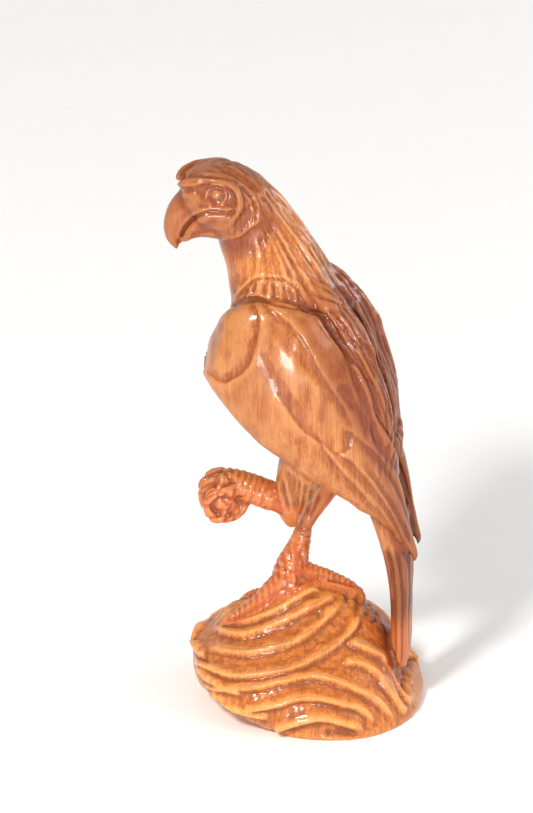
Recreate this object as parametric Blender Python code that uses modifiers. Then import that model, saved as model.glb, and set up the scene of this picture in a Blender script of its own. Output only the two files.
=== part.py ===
"""Carved wooden eagle that stands on one leg on a rock, all one solid.

The bird faces -X and its left side is towards -Y. Z is up, and the ground is at z = 0 under the
middle of the rock. The figure was drawn in millimetres, and the sizes below carry the drawing to
the real piece, so that the bird and its rock can each be made larger or smaller. The carved lines
were drawn on a squared side view, and are cut on the left side and, mirrored, on the right.
"""
import math

import bmesh
import bpy
import numpy as np

MM = 0.001

# Driving sizes, in metres
BIRD_HEIGHT = 269 * MM
BIRD_WIDTH = 106 * MM
ROCK_LENGTH = 141 * MM
ROCK_WIDTH = 130 * MM
ROCK_HEIGHT = 75 * MM
LEG_DIAMETER = 17 * MM
TAIL_WIDTH = 40 * MM
RIDGE_HEIGHT = 4.0 * MM
FEATHER_STEP = 2.4 * MM
MANE_DEPTH = 2.4 * MM
FLUTE_DEPTH = 2.0 * MM
SOCKET_DEPTH = 2.4 * MM
EYE_RISE = 3.0 * MM
SKIN_VOXEL = 1.3 * MM
TRIANGLES = 9500

# The head looks a little to its left, and the right wing is folded a little further back
HEAD_TURN = math.radians(-12)
RIGHT_WRIST_BACK = 7.0

WOOD_COLOUR = (0.50, 0.20, 0.07, 1.0)
WOOD_ROUGHNESS = 0.38

# What the drawing measures, in its own millimetres
DRAWN_BIRD_HEIGHT = 269.0
DRAWN_BIRD_WIDTH = 106.0
DRAWN_ROCK = (141.0, 130.0, 75.0)
DRAWN_LEG = 17.0
DRAWN_TAIL_WIDTH = 40.0
HEAD_PIVOT = -38.0
NECK_TURNS = (296.0, 334.0)

# The side view that the carved lines are drawn on: squares in millimetres and where (0, 0) lies,
# seen from a little behind and from above
SQUARE_X = 0.591
SQUARE_Z = 0.652
VIEW_ZERO = (312.0, 694.0)
VIEW_TURN = math.radians(6)
VIEW_RISE = math.radians(25)

RING_POINTS = 48
STEPS = 6
ROCK_SQUARENESS = 2.25

# Rock: height, left end, right end and half width of each level, from under the ground up
ROCK_LEVELS = (
    (-8, -36, 62, 62),
    (0, -46, 68.5, 65),
    (6, -61, 68.5, 65),
    (14, -70, 64.5, 64.5),
    (24, -72.5, 56.5, 62.5),
    (34, -70.5, 51.5, 54),
    (44, -56, 47, 41),
    (53, -38.5, 42, 28.5),
    (62, -26.5, 34.5, 19),
    (69, -19, 25, 12.5),
    (73.5, -13, 13, 8),
    (75, -6, 6, 4),
)

# Trunk: throat x and z, back x and z, half width, and how square the section is
TRUNK = (
    (-77.5, 326, -74, 339, 9, 2.2),
    (-76, 320, -62, 343.5, 14.5, 2.8),
    (-70.5, 314, -48.5, 344, 18, 3.0),
    (-62, 304.5, -35.5, 338.5, 19.5, 2.6),
    (-56.5, 298.5, -23, 328.5, 19, 2.3),
    (-54, 290, -12.5, 316.5, 18, 2.1),
    (-51, 280, -0.5, 302, 20.5, 2.0),
    (-49, 267, 8, 285.5, 26, 2.0),
    (-48, 254, 16, 270, 32, 2.1),
    (-52, 240, 23.5, 254, 36, 2.2),
    (-55, 224, 30, 235, 38, 2.3),
    (-52, 206, 34.5, 210, 38, 2.3),
    (-41, 187, 39.5, 185, 36, 2.2),
    (-24, 170, 44.5, 160, 31, 2.1),
    (-3, 153, 51, 138, 26, 2.1),
    (19, 136, 56.5, 120, 21, 2.1),
)

# Tail: front x and z, back x and z, half width, from inside the rump down into the rock
TAIL = (
    (29, 136, 58, 121, 19, 2.4),
    (38, 115, 59.5, 101, 20, 2.6),
    (44.5, 95, 60, 86, 20, 2.8),
    (48, 76, 59.5, 70, 19.5, 3.0),
    (49, 58, 59.5, 55, 19, 3.0),
    (49, 38, 59, 36, 18.5, 3.0),
    (48.5, 18, 57, 17, 17, 3.0),
)

# Left wing, from the wrist to the tip: lower edge x, y, z, upper edge x, y, z, and the bulge
WING = (
    (-61.5, -21, 221, -60.5, -20, 229, 3),
    (-61.5, -27, 219, -57, -22, 242, 7),
    (-54.5, -34, 212, -46.5, -28, 261.5, 11),
    (-41.5, -39, 197.5, -26, -32, 269.5, 13),
    (-27, -41, 183, -2, -33, 267, 14),
    (-12, -40, 171.5, 12, -32, 256, 14),
    (2, -38, 160, 24.5, -30, 235, 13),
    (18.5, -34, 148, 34.5, -27, 213, 12),
    (34, -28, 135, 41, -24, 188, 10),
    (43.5, -23, 125.5, 48, -20, 169, 8),
    (51, -18, 114.5, 56.5, -16, 141, 6),
    (59, -14, 101.5, 62, -12.5, 117, 3.5),
    (63, -12, 96, 64.5, -12, 101, 1.5),
)

# Left half of the feather cape on the back: middle x, y, z, half depth and half width
CAPE = (
    (-11, -9, 288, 4, 6),
    (2, -13, 273, 8, 11),
    (16, -16, 257, 11, 14),
    (27.5, -17, 236, 12, 16),
    (35.5, -17, 213, 12.5, 16),
    (40.5, -16, 190, 12, 15),
    (44.5, -15, 171, 9.5, 12),
    (48, -14, 160, 5, 8),
    (52, -13, 153, 1.5, 3),
)
CAPE_LEAN = math.radians(20)

# Beak and lower jaw: upper x and z, lower x and z, half width and squareness of each section
BEAK = (
    (-68, 336, -56, 313, 13, 2.2),
    (-78, 327, -63, 314, 11, 2.2),
    (-84, 319.5, -69, 311, 9.5, 2.1),
    (-87, 311, -73, 306, 8, 2.0),
    (-87.5, 304, -76, 300.5, 6, 2.0),
    (-85.5, 297, -78, 295.5, 4.2, 2.0),
    (-81.5, 292, -79, 291, 2, 2.0),
)
JAW = (
    (-52, 319, -54, 297, 14, 2.2),
    (-60, 315.5, -60, 299, 11.5, 2.2),
    (-66, 314, -66, 299.5, 9, 2.1),
    (-71, 308, -71, 298, 6.4, 2.0),
    (-75, 302, -75, 297, 3.6, 2.0),
    (-77, 300, -77, 297.5, 1.6, 2.0),
)

# Limbs: x, y, z and radius along each
BROW = (
    (-78.5, -4, 333.5, 1.8),
    (-76, -8, 336, 2.4),
    (-69, -12.5, 338.5, 2.6),
    (-61, -15.5, 339.5, 2.4),
    (-53.5, -17.5, 338.5, 2.3),
    (-47.5, -18.5, 335, 2.2),
    (-44.5, -19, 329.5, 2.2),
    (-44.5, -19, 323, 2.2),
    (-46, -18, 316.5, 1.9),
    (-50, -16.5, 312, 1.2),
)
STANDING_LEG = (
    (12, 10, 162, 17),
    (10, 9, 144, 13),
    (5, 8, 128, 8.0),
    (-1, 7, 115, 5.0),
    (-5.5, 6, 105, 4.6),
    (-7.5, 6, 97, 5.8),
    (-10, 5, 88, 7.8),
    (-12, 3, 81, 9.5),
    (-13, 2, 73, 11),
)
RAISED_THIGH = (
    (0, -18, 172, 16),
    (-3, -18, 158, 15.5),
    (-6.5, -18, 146, 13.5),
    (-9, -17, 135, 10.5),
    (-10.5, -15, 126, 7.5),
    (-10, -12, 118, 4.5),
)
RAISED_SHIN = (
    (-11, -16, 132, 8.4),
    (-22, -16.5, 137, 8.3),
    (-34, -17, 141.5, 8.3),
    (-44, -17, 144.5, 8.2),
    (-51, -17, 145, 7.8),
)
FIST_TOES = (
    ((-46, -9, 144.5, 5), (-53, -8, 146, 4.6), (-59.5, -8, 143, 4.4), (-63, -8, 137, 4.2),
     (-62, -9, 130, 4.0), (-56.5, -10, 127, 3.2), (-51, -11, 129.5, 1.6)),
    ((-45, -17, 145, 5), (-52, -18, 146.5, 4.6), (-58, -18, 143.5, 4.4), (-61.5, -18, 137.5, 4.2),
     (-60.5, -18, 130.5, 4.0), (-55.5, -19, 126.5, 3.4), (-50, -19.5, 129, 1.8)),
    ((-45, -24, 142.5, 4.6), (-51, -26, 143.5, 4.4), (-56.5, -26, 140, 4.2), (-59.5, -26, 134, 4.0),
     (-57.5, -26.5, 128, 3.8), (-52, -27, 126, 3.2), (-47.5, -26.5, 130.5, 1.8)),
    ((-41, -17, 140, 5.8), (-40, -18, 133.5, 5.4), (-42.5, -19, 128, 5.0), (-47.5, -20, 124.5, 4.4),
     (-52.5, -21, 124.5, 3.4), (-56, -21, 128, 1.6)),
)
PALM = (-50, -18.5, 136, 10)

# Toes of the standing foot: x, y and radius along each, laid on the rock's own surface
TOES = (
    ((-10, 0, 9), (-22, -3, 7), (-32, -5, 5.6), (-41, -6, 4.4), (-49, -7, 3.2), (-54, -7.5, 1.2)),
    ((-10, 4, 8), (-19, 13, 5.8), (-28, 21, 4.8), (-37, 28, 4.2), (-44, 33, 3.2), (-48, 36, 1.2)),
    ((-7, 6, 8), (-11, 18, 5.8), (-15, 29, 4.8), (-19, 38, 4.2), (-22, 45, 3.2), (-24, 49, 1.2)),
    ((-6, 3, 8), (4, 3, 5.2), (12, 3, 4.2), (19, 3, 3.6), (25, 3, 2.8), (29, 3, 1.2)),
)

# Carved lines on the squared side view, each a row of places
ROCK_RIDGES = (
    ((225, 615), (236, 620.5), (255, 618), (279.5, 608), (304, 593), (323, 585)),
    ((208, 626), (238, 633), (263, 628), (288, 618), (313, 606), (339, 591.5)),
    ((201.5, 646), (238, 651), (260, 649.5), (296, 639.5), (321, 623), (346, 598)),
    ((188, 660), (205, 666), (230, 674), (255, 674), (288, 668), (313, 658), (337.5, 643), (356, 626), (362, 610)),
    ((196, 684), (218, 689), (255, 686), (279.5, 681), (303, 676), (321, 676), (346, 683), (379, 701), (399, 724)),
    ((232, 712), (255, 709), (279.5, 704), (299, 697.5), (321, 697.5), (346, 704), (362, 709), (379, 724)),
    ((272, 733), (284.5, 727.5), (304, 721), (324, 719), (346, 724), (367, 729)),
    ((346, 638), (371, 649.5), (387, 659.5), (400.5, 683), (415.5, 709)),
    ((342.5, 659.5), (362, 663), (379, 673), (395.5, 696), (409, 716)),
    ((190, 640), (196, 652), (204, 655)),
)
RIDGE_REACH = 6.5
WING_STEPS = (
    ((257, 309), (259, 322), (257, 340), (251.5, 357.5), (244, 369), (235, 375), (223.5, 381), (209, 372)),
    ((271, 308), (300, 335.5), (321, 374), (345, 410), (351, 431), (349, 444.5), (338, 452), (321, 440.5),
     (300, 424), (283, 400)),
    ((351, 431), (362, 440.5), (379, 455.5), (397, 481.5), (412, 521.5), (421, 555.5)),
    ((338, 452), (349, 459), (361, 471), (376, 489), (393.5, 516), (405, 540), (413, 556)),
    ((321, 440.5), (330, 456), (345, 474), (362, 492), (379, 514), (393, 534)),
)
CAPE_EDGE = ((303, 309), (323.5, 316), (341, 343), (362, 372), (372, 394), (376, 414), (394, 440), (407, 467))
CAPE_CLEFT = ((347.5, 283), (355, 294.5), (364, 311), (374.5, 331.5), (383.5, 356), (393.5, 381), (400, 407),
              (403, 450), (407, 468))
RUFF_EDGES = (
    ((238, 296), (245, 287), (255, 279), (267, 278), (283, 279), (295, 286), (300, 297)),
    ((235, 303), (245, 297), (259, 297), (269, 301), (279, 304), (291, 306), (303, 308), (315, 311), (325, 316)),
)
CHEEK_EDGE = ((221, 172), (235, 177), (247, 185), (256, 196), (260, 208), (261, 222), (251, 230), (241, 238),
              (228, 240))
EYE_PLACE = (217, 196)
EYE_RADIUS = 4.6
SOCKET_RADIUS = 13.0
MOUTH = ((183, 234), (187, 226), (195, 218), (205, 214), (217, 213), (229, 214), (235, 212))

# The neck's flow from throat to nape: matching places from the head down to the shoulders
MANE_FLOW = (
    ((224, 246), (229, 262), (232, 280), (234, 302)),
    ((240, 242), (242, 262), (240, 284), (237, 302)),
    ((254, 234), (256, 258), (254, 282), (250, 298)),
    ((261, 226), (268, 254), (272, 280), (275, 302)),
    ((262, 212), (276, 244), (290, 274), (302, 307)),
    ((260, 198), (284, 234), (307, 270), (332, 318)),
    ((264, 190), (298, 230), (329, 270), (355, 318)),
    ((272, 190), (310, 236), (345, 276), (372, 322)),
)
MANE_GROOVES = 12
TAIL_FLUTES = 12


def spline(rows, steps=STEPS):
    """Rows of numbers on a Catmull-Rom curve through the given ones."""
    rows = np.array(rows, float)
    rows = np.vstack([2 * rows[0] - rows[1], rows, 2 * rows[-1] - rows[-2]])
    t = np.linspace(0, 1, steps, endpoint=False)[:, None]
    spans = [
        0.5 * (2 * b + (c - a) * t + (2 * a - 5 * b + 4 * c - d) * t**2 + (3 * b - a - 3 * c + d) * t**3)
        for a, b, c, d in zip(rows[:-3], rows[1:-2], rows[2:-1], rows[3:])
    ]
    return np.vstack([*spans, rows[-2:-1]])


def ease(values, low, high):
    """0 below low, 1 above high, and a smooth rise between them."""
    t = np.clip((values - low) / (high - low), 0, 1)
    return t * t * (3 - 2 * t)


def turn_head(points, way):
    """Drawn points with the head turned on the neck, or turned back with way -1."""
    x, y, z = np.moveaxis(points, -1, 0)
    angle = way * HEAD_TURN * ease(z - x / 2, *NECK_TURNS)
    return np.stack([HEAD_PIVOT + (x - HEAD_PIVOT) * np.cos(angle) + y * np.sin(angle),
                     y * np.cos(angle) - (x - HEAD_PIVOT) * np.sin(angle), z], axis=-1)


def to_real(points):
    """Points of the drawing, in millimetres, as real places in metres, with the bird on its rock."""
    points = np.array(points, float)
    tall = BIRD_HEIGHT / DRAWN_BIRD_HEIGHT
    wide = BIRD_WIDTH / DRAWN_BIRD_WIDTH
    perch = DRAWN_ROCK[2]
    points = turn_head(points, 1)
    x, y, z = np.moveaxis(points, -1, 0)
    return np.stack([x * tall, y * wide, ROCK_HEIGHT + (z - perch) * tall], axis=-1)


def to_drawn(points):
    """Real places as points of the drawing, the inverse of to_real."""
    tall = BIRD_HEIGHT / DRAWN_BIRD_HEIGHT
    wide = BIRD_WIDTH / DRAWN_BIRD_WIDTH
    perch = DRAWN_ROCK[2]
    x, y, z = np.moveaxis(points, -1, 0)
    straight = np.stack([x / tall, y / wide, perch + (z - ROCK_HEIGHT) / tall], axis=-1)
    return turn_head(straight, -1)


def rock_to_real(points):
    """Points of the drawn rock, in millimetres, as real places in metres."""
    return np.array(points, float) * np.array([ROCK_LENGTH, ROCK_WIDTH, ROCK_HEIGHT]) / DRAWN_ROCK


def oval(squareness):
    """Across and along shares of a ring that goes from round, at 2, towards square."""
    turn = np.linspace(0, 2 * math.pi, RING_POINTS, endpoint=False)
    power = 2 / squareness
    return (np.sign(np.cos(turn)) * np.abs(np.cos(turn)) ** power,
            np.sign(np.sin(turn)) * np.abs(np.sin(turn)) ** power)


def skin(name, rings):
    """A closed loft through rings of real points."""
    mesh = bpy.data.meshes.new(name)
    bm = bmesh.new()
    loops = [[bm.verts.new(point) for point in ring] for ring in rings]
    for low, high in zip(loops, loops[1:]):
        for i in range(RING_POINTS):
            j = (i + 1) % RING_POINTS
            bm.faces.new((low[i], low[j], high[j], high[i]))
    for end in (loops[0], loops[-1]):
        bm.faces.new(end)
    bmesh.ops.recalc_face_normals(bm, faces=bm.faces)
    bm.to_mesh(mesh)
    bm.free()
    return bpy.data.objects.new(name, mesh)


def mid_plane_rings(rows, width=1.0):
    """Rings round the bird's middle plane, each from a front point to a back point."""
    for x0, z0, x1, z1, half, squareness in spline(rows):
        along, across = oval(squareness)
        x = (x0 + x1) / 2 + along * (x1 - x0) / 2
        z = (z0 + z1) / 2 + along * (z1 - z0) / 2
        yield to_real(np.stack([x, across * half * width, z], axis=-1))


def wing_rings(rows, side):
    """Rings across a folded wing, which bulges outwards from its chord."""
    rows = spline(rows)
    back = RIGHT_WRIST_BACK * (side < 0)
    for row in rows:
        wrist = ease(-row[0], 0, 60) * back
        low, high, bulge = row[:3] + (wrist, 0, 0), row[3:6] + (wrist, 0, 0), row[6]
        along, across = oval(2.4)
        outward = np.cross(high - low, (0.5, 0, -0.8))
        outward *= -np.sign(outward[1]) / np.linalg.norm(outward)
        ring = (low + high) / 2 + np.outer(along, (high - low) / 2)
        ring = ring + np.outer(across * bulge, outward)
        yield to_real(ring * (1, side, 1))


def cape_rings(rows, side):
    """Rings across one half of the cape, leaning with the back."""
    for x, y, z, deep, wide in spline(rows):
        along, across = oval(2.0)
        ring = np.stack([x + along * deep * math.cos(CAPE_LEAN), y + across * wide,
                         z + along * deep * math.sin(CAPE_LEAN)], axis=-1)
        yield to_real(ring * (1, side, 1))


def rock_rings():
    """Level rings of the rock."""
    for z, left, right, half in spline(ROCK_LEVELS, 4):
        along, across = oval(ROCK_SQUARENESS)
        ring = np.stack([(left + right) / 2 + along * (right - left) / 2, across * half,
                         np.full(RING_POINTS, z)], axis=-1)
        yield rock_to_real(ring)


def rock_height(x, y):
    """Height of the real rock's top over a point of the drawing, in metres."""
    levels = spline(ROCK_LEVELS, 10)
    middle = (levels[:, 1] + levels[:, 2]) / 2
    reach = (levels[:, 2] - levels[:, 1]) / 2
    inside = (np.abs(x - middle) / reach) ** ROCK_SQUARENESS + (abs(y) / levels[:, 3]) ** ROCK_SQUARENESS <= 1
    return levels[inside, 0].max() / DRAWN_ROCK[2] * ROCK_HEIGHT


def limb(name, rows, thickness=1.0):
    """A round limb along real points, given as x, y, z and radius in metres."""
    curve = bpy.data.curves.new(name, "CURVE")
    curve.dimensions = "3D"
    curve.bevel_depth = 1.0
    curve.bevel_resolution = 5
    curve.use_fill_caps = True
    path = curve.splines.new("POLY")
    rows = spline(rows)
    path.points.add(len(rows) - 1)
    for point, (x, y, z, radius) in zip(path.points, rows):
        point.co = (x, y, z, 1)
        point.radius = radius * thickness
    return bpy.data.objects.new(name, curve)


def drawn_limb(name, rows, side=1, thickness=1.0):
    """A limb whose points are in the drawing."""
    rows = np.array(rows, float) * (1, side, 1, 1)
    radius = rows[:, 3:] * BIRD_HEIGHT / DRAWN_BIRD_HEIGHT
    return limb(name, np.hstack([to_real(rows[:, :3]), radius]), thickness)


def toe_on_rock(name, rows, thickness):
    """A toe of the standing foot, half sunk in the rock's surface."""
    scale = np.array([ROCK_LENGTH, ROCK_WIDTH]) / DRAWN_ROCK[:2]
    points = [(x * scale[0], y * scale[1], rock_height(x, y) + radius * 0.45 * MM, radius * MM)
              for x, y, radius in rows]
    return limb(name, points, thickness)


def ball(name, x, y, z, radius, side=1):
    """A round lump of the drawing."""
    mesh = bpy.data.meshes.new(name)
    bm = bmesh.new()
    bmesh.ops.create_uvsphere(bm, u_segments=24, v_segments=16,
                              radius=radius * BIRD_HEIGHT / DRAWN_BIRD_HEIGHT)
    bm.to_mesh(mesh)
    bm.free()
    lump = bpy.data.objects.new(name, mesh)
    lump.location = to_real((x, y * side, z))
    return lump


def forms():
    """The rough shapes that the carving is joined from."""
    leg = LEG_DIAMETER / MM / DRAWN_LEG
    yield skin("rock", list(rock_rings()))
    yield skin("trunk", list(mid_plane_rings(TRUNK)))
    yield skin("tail", list(mid_plane_rings(TAIL, TAIL_WIDTH / MM / DRAWN_TAIL_WIDTH)))
    yield skin("beak", list(mid_plane_rings(BEAK)))
    yield skin("jaw", list(mid_plane_rings(JAW)))
    for side, word in ((1, "left"), (-1, "right")):
        yield skin("wing_" + word, list(wing_rings(WING, side)))
        yield skin("cape_" + word, list(cape_rings(CAPE, side)))
        yield drawn_limb("brow_" + word, BROW, side)
    yield drawn_limb("standing_leg", STANDING_LEG, 1, leg)
    yield drawn_limb("raised_thigh", RAISED_THIGH, 1, leg)
    yield drawn_limb("raised_shin", RAISED_SHIN, 1, leg)
    yield ball("palm", *PALM)
    for i, toe in enumerate(FIST_TOES):
        yield drawn_limb(f"fist_toe_{i}", toe, 1, leg)
    for i, toe in enumerate(TOES):
        yield toe_on_rock(f"toe_{i}", toe, leg)


def one_skin(name, pieces, collection):
    """One closed skin over all the rough shapes."""
    bm = bmesh.new()
    for piece in pieces:
        collection.objects.link(piece)
    bpy.context.view_layer.update()
    graph = bpy.context.evaluated_depsgraph_get()
    for piece in collection.objects:
        mesh = bpy.data.meshes.new_from_object(piece.evaluated_get(graph))
        mesh.transform(piece.matrix_world)
        bm.from_mesh(mesh)
        bpy.data.meshes.remove(mesh)
    bmesh.ops.remove_doubles(bm, verts=bm.verts, dist=1e-6)
    joined = bpy.data.meshes.new(name)
    bm.to_mesh(joined)
    bm.free()
    body = bpy.data.objects.new(name, joined)
    collection.objects.link(body)
    remesh = body.modifiers.new("one skin", "REMESH")
    remesh.mode = "VOXEL"
    remesh.voxel_size = SKIN_VOXEL
    soften = body.modifiers.new("soften the joints", "SMOOTH")
    soften.factor = 0.5
    soften.iterations = 4
    graph = bpy.context.evaluated_depsgraph_get()
    return bpy.data.meshes.new_from_object(body.evaluated_get(graph))


def side_view(points):
    """Where drawn points fall on the squared side view, the right side folded onto the left."""
    folded = turn_head(points * (1, -1, 1) * np.where(points[..., 1:2] > 0, 1, (1, -1, 1)), 1)
    x, y, z = folded.T
    across = x * math.cos(VIEW_TURN) + y * math.sin(VIEW_TURN)
    away = y * math.cos(VIEW_TURN) - x * math.sin(VIEW_TURN)
    up = z + math.tan(VIEW_RISE) * away
    return np.stack([VIEW_ZERO[0] + across / SQUARE_X, VIEW_ZERO[1] - up / SQUARE_Z], axis=-1)


def from_line(places, line, steps=3):
    """Distance in millimetres from a carved line, positive on its left, and the share of it passed."""
    line = spline(line, steps)
    near = np.full(len(places), np.inf)
    side = np.ones(len(places))
    share = np.zeros(len(places))
    for i, (a, b) in enumerate(zip(line, line[1:])):
        along = b - a
        t = np.clip(((places - a) @ along) / (along @ along), 0, 1)
        gap = places - a - t[:, None] * along
        distance = np.hypot(gap[:, 0], gap[:, 1])
        closer = distance < near
        near[closer] = distance[closer]
        side[closer] = np.sign(along[1] * gap[closer, 0] - along[0] * gap[closer, 1])
        share[closer] = (i + t[closer]) / (len(line) - 1)
    return near * side * SQUARE_X, share


def step_down(distance, height, width):
    """A feather edge: the left of the line stands up and the right is cut down."""
    rise = np.clip(1 - np.abs(distance) / width, 0, 1) ** 1.5
    return height * rise * np.where(distance > 0, 0.4, -0.6)


def groove(distance, depth, width):
    """A V cut along a line."""
    return -depth * np.clip(1 - np.abs(distance) / width, 0, 1)


def on_rock(drawn, real):
    """1 on the rock's own surface, 0 on the bird."""
    levels = spline(ROCK_LEVELS, 4)
    level = real[:, 2] / ROCK_HEIGHT * DRAWN_ROCK[2]
    left, right, half = (np.interp(level, levels[:, 0], levels[:, i]) for i in (1, 2, 3))
    x = real[:, 0] / ROCK_LENGTH * DRAWN_ROCK[0]
    y = real[:, 1] / ROCK_WIDTH * DRAWN_ROCK[1]
    reach = (right - left) / 2
    out = (np.abs(x - (left + right) / 2) / reach) ** ROCK_SQUARENESS + (np.abs(y) / half) ** ROCK_SQUARENESS
    beyond = (out ** (1 / ROCK_SQUARENESS) - 1) * np.minimum(reach, half)
    return (1 - ease(beyond, 1.5, 3.5)) * (1 - ease(level, DRAWN_ROCK[2] + 1, DRAWN_ROCK[2] + 3))


def mane_lines():
    """The long grooves down the neck, spread evenly between its throat and nape."""
    flow = spline([np.ravel(row) for row in MANE_FLOW], 8)
    for f in np.linspace(0.08, 1, MANE_GROOVES):
        row = flow[min(int(f * (len(flow) - 1)), len(flow) - 1)]
        yield row.reshape(-1, 2)


def carving(real):
    """How far each real place of the skin is raised, in metres."""
    drawn = to_drawn(real)
    places = side_view(drawn)
    rock = on_rock(drawn, real)
    x, y, z = drawn.T
    bird = 1 - rock
    outer = ease(np.abs(y), 6, 12)
    raised = np.zeros(len(real))

    ridge = np.full(len(real), np.inf)
    for line in ROCK_RIDGES:
        ridge = np.minimum(ridge, np.abs(from_line(places, line)[0]))
    raised += rock * RIDGE_HEIGHT * ((1 - np.clip(ridge / RIDGE_REACH, 0, 1)) ** 2 - 0.6)

    wing = bird * outer * ease(z, 88, 94) * (1 - ease(z, 276, 282))
    for line in WING_STEPS:
        raised += wing * step_down(from_line(places, line)[0], FEATHER_STEP, 6.0)
    raised += wing * step_down(-from_line(places, CAPE_EDGE)[0], FEATHER_STEP * 1.3, 7.0)

    back = bird * ease(x, -30, -15)
    raised += back * groove(from_line(places, CAPE_CLEFT)[0], FEATHER_STEP * 1.5, 4.0)

    neck = bird * ease(z - x / 2, 285, 300) * (1 - ease(z - x / 2, 368, 372))
    for line in RUFF_EDGES:
        raised += bird * outer * step_down(from_line(places, line)[0], FEATHER_STEP, 5.0)
    head = neck * (1 - ease(x, -22, -16))
    raised += head * outer * step_down(-from_line(places, CHEEK_EDGE)[0], FEATHER_STEP * 1.6, 6.0)
    raised += head * groove(from_line(places, MOUTH)[0], 1.6 * MM, 2.5)
    to_eye = np.hypot(*(places - EYE_PLACE).T) * SQUARE_X
    raised -= head * outer * SOCKET_DEPTH * (1 - np.clip(to_eye / SOCKET_RADIUS, 0, 1) ** 2)
    raised += head * outer * EYE_RISE * np.sqrt(1 - np.clip(to_eye / EYE_RADIUS, 0, 1) ** 2)

    mane = np.zeros(len(real))
    for line in mane_lines():
        distance, share = from_line(places, line)
        mane = np.minimum(mane, groove(distance, MANE_DEPTH, 3.0) * ease(share, 0, 0.1) * (1 - ease(share, 0.9, 1)))
    raised += bird * ease(np.abs(y), 0, 3) * mane * ease(x, -54, -50)

    tail_x = np.interp(z, [18, 38, 76, 95, 112, 131], [53, 54.5, 54, 53, 50, 45])
    around = np.arctan2((x - tail_x) * 2.4, y)
    tail = bird * ease(x, 36, 40) * (1 - ease(z, 100, 112))
    raised += tail * FLUTE_DEPTH / 2 * np.cos(around * TAIL_FLUTES)
    return raised


def carve(mesh):
    """Moves the skin in and out along its own normals, to carve the relief."""
    count = len(mesh.vertices)
    places = np.empty(count * 3)
    mesh.vertices.foreach_get("co", places)
    places = places.reshape(-1, 3)
    normals = np.empty(count * 3)
    mesh.vertex_normals.foreach_get("vector", normals)
    normals = normals.reshape(-1, 3)
    places = places + normals * carving(places)[:, None]
    mesh.vertices.foreach_set("co", places.ravel())
    mesh.update()


def thin_out(mesh, triangles, collection):
    """The mesh with only as many triangles as the carving needs."""
    full = bpy.data.objects.new("full_skin", mesh)
    collection.objects.link(full)
    triangulate = full.modifiers.new("triangles", "TRIANGULATE")
    triangulate.quad_method = "BEAUTY"
    thin = full.modifiers.new("thin out", "DECIMATE")
    thin.ratio = triangles / (2 * len(mesh.polygons))
    graph = bpy.context.evaluated_depsgraph_get()
    return bpy.data.meshes.new_from_object(full.evaluated_get(graph))


def flat_underside(mesh):
    """Cuts the rock flat at the ground and closes it."""
    bm = bmesh.new()
    bm.from_mesh(mesh)
    everything = bm.verts[:] + bm.edges[:] + bm.faces[:]
    cut = bmesh.ops.bisect_plane(bm, geom=everything, dist=1e-6, plane_co=(0, 0, 0),
                                 plane_no=(0, 0, -1), clear_outer=True)
    rim = [item for item in cut["geom_cut"] if isinstance(item, bmesh.types.BMEdge)]
    bmesh.ops.edgeloop_fill(bm, edges=rim)
    bmesh.ops.dissolve_degenerate(bm, dist=1e-6, edges=bm.edges)
    bmesh.ops.triangulate(bm, faces=bm.faces)
    bmesh.ops.recalc_face_normals(bm, faces=bm.faces)
    bm.to_mesh(mesh)
    bm.free()


def wood():
    """Warm varnished wood."""
    material = bpy.data.materials.new("varnished_wood")
    material.use_nodes = True
    shader = material.node_tree.nodes["Principled BSDF"]
    shader.inputs["Base Color"].default_value = WOOD_COLOUR
    shader.inputs["Roughness"].default_value = WOOD_ROUGHNESS
    shader.inputs["Metallic"].default_value = 0.0
    return material


def build():
    """The whole carving, as one object in its own collection."""
    for old in list(bpy.data.objects):
        bpy.data.objects.remove(old)
    rough = bpy.data.collections.new("rough_shapes")
    bpy.context.scene.collection.children.link(rough)
    skin_mesh = one_skin("one_skin", forms(), rough)
    carve(skin_mesh)
    mesh = thin_out(skin_mesh, TRIANGLES, rough)
    flat_underside(mesh)
    rough.hide_render = True
    for shape in rough.objects:
        shape.hide_render = True
        shape.display_type = "WIRE"
    finished = bpy.data.collections.new("carved_wooden_eagle")
    bpy.context.scene.collection.children.link(finished)
    eagle = bpy.data.objects.new("carved_eagle", mesh)
    finished.objects.link(eagle)
    mesh.materials.clear()
    mesh.materials.append(wood())
    mesh.polygons.foreach_set("use_smooth", [True] * len(mesh.polygons))
    return eagle


if __name__ == "__main__":
    build()
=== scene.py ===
"""Carved and varnished wooden eagle on its rock, with all of its fine carving and its wood finish."""
import itertools
import math

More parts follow.
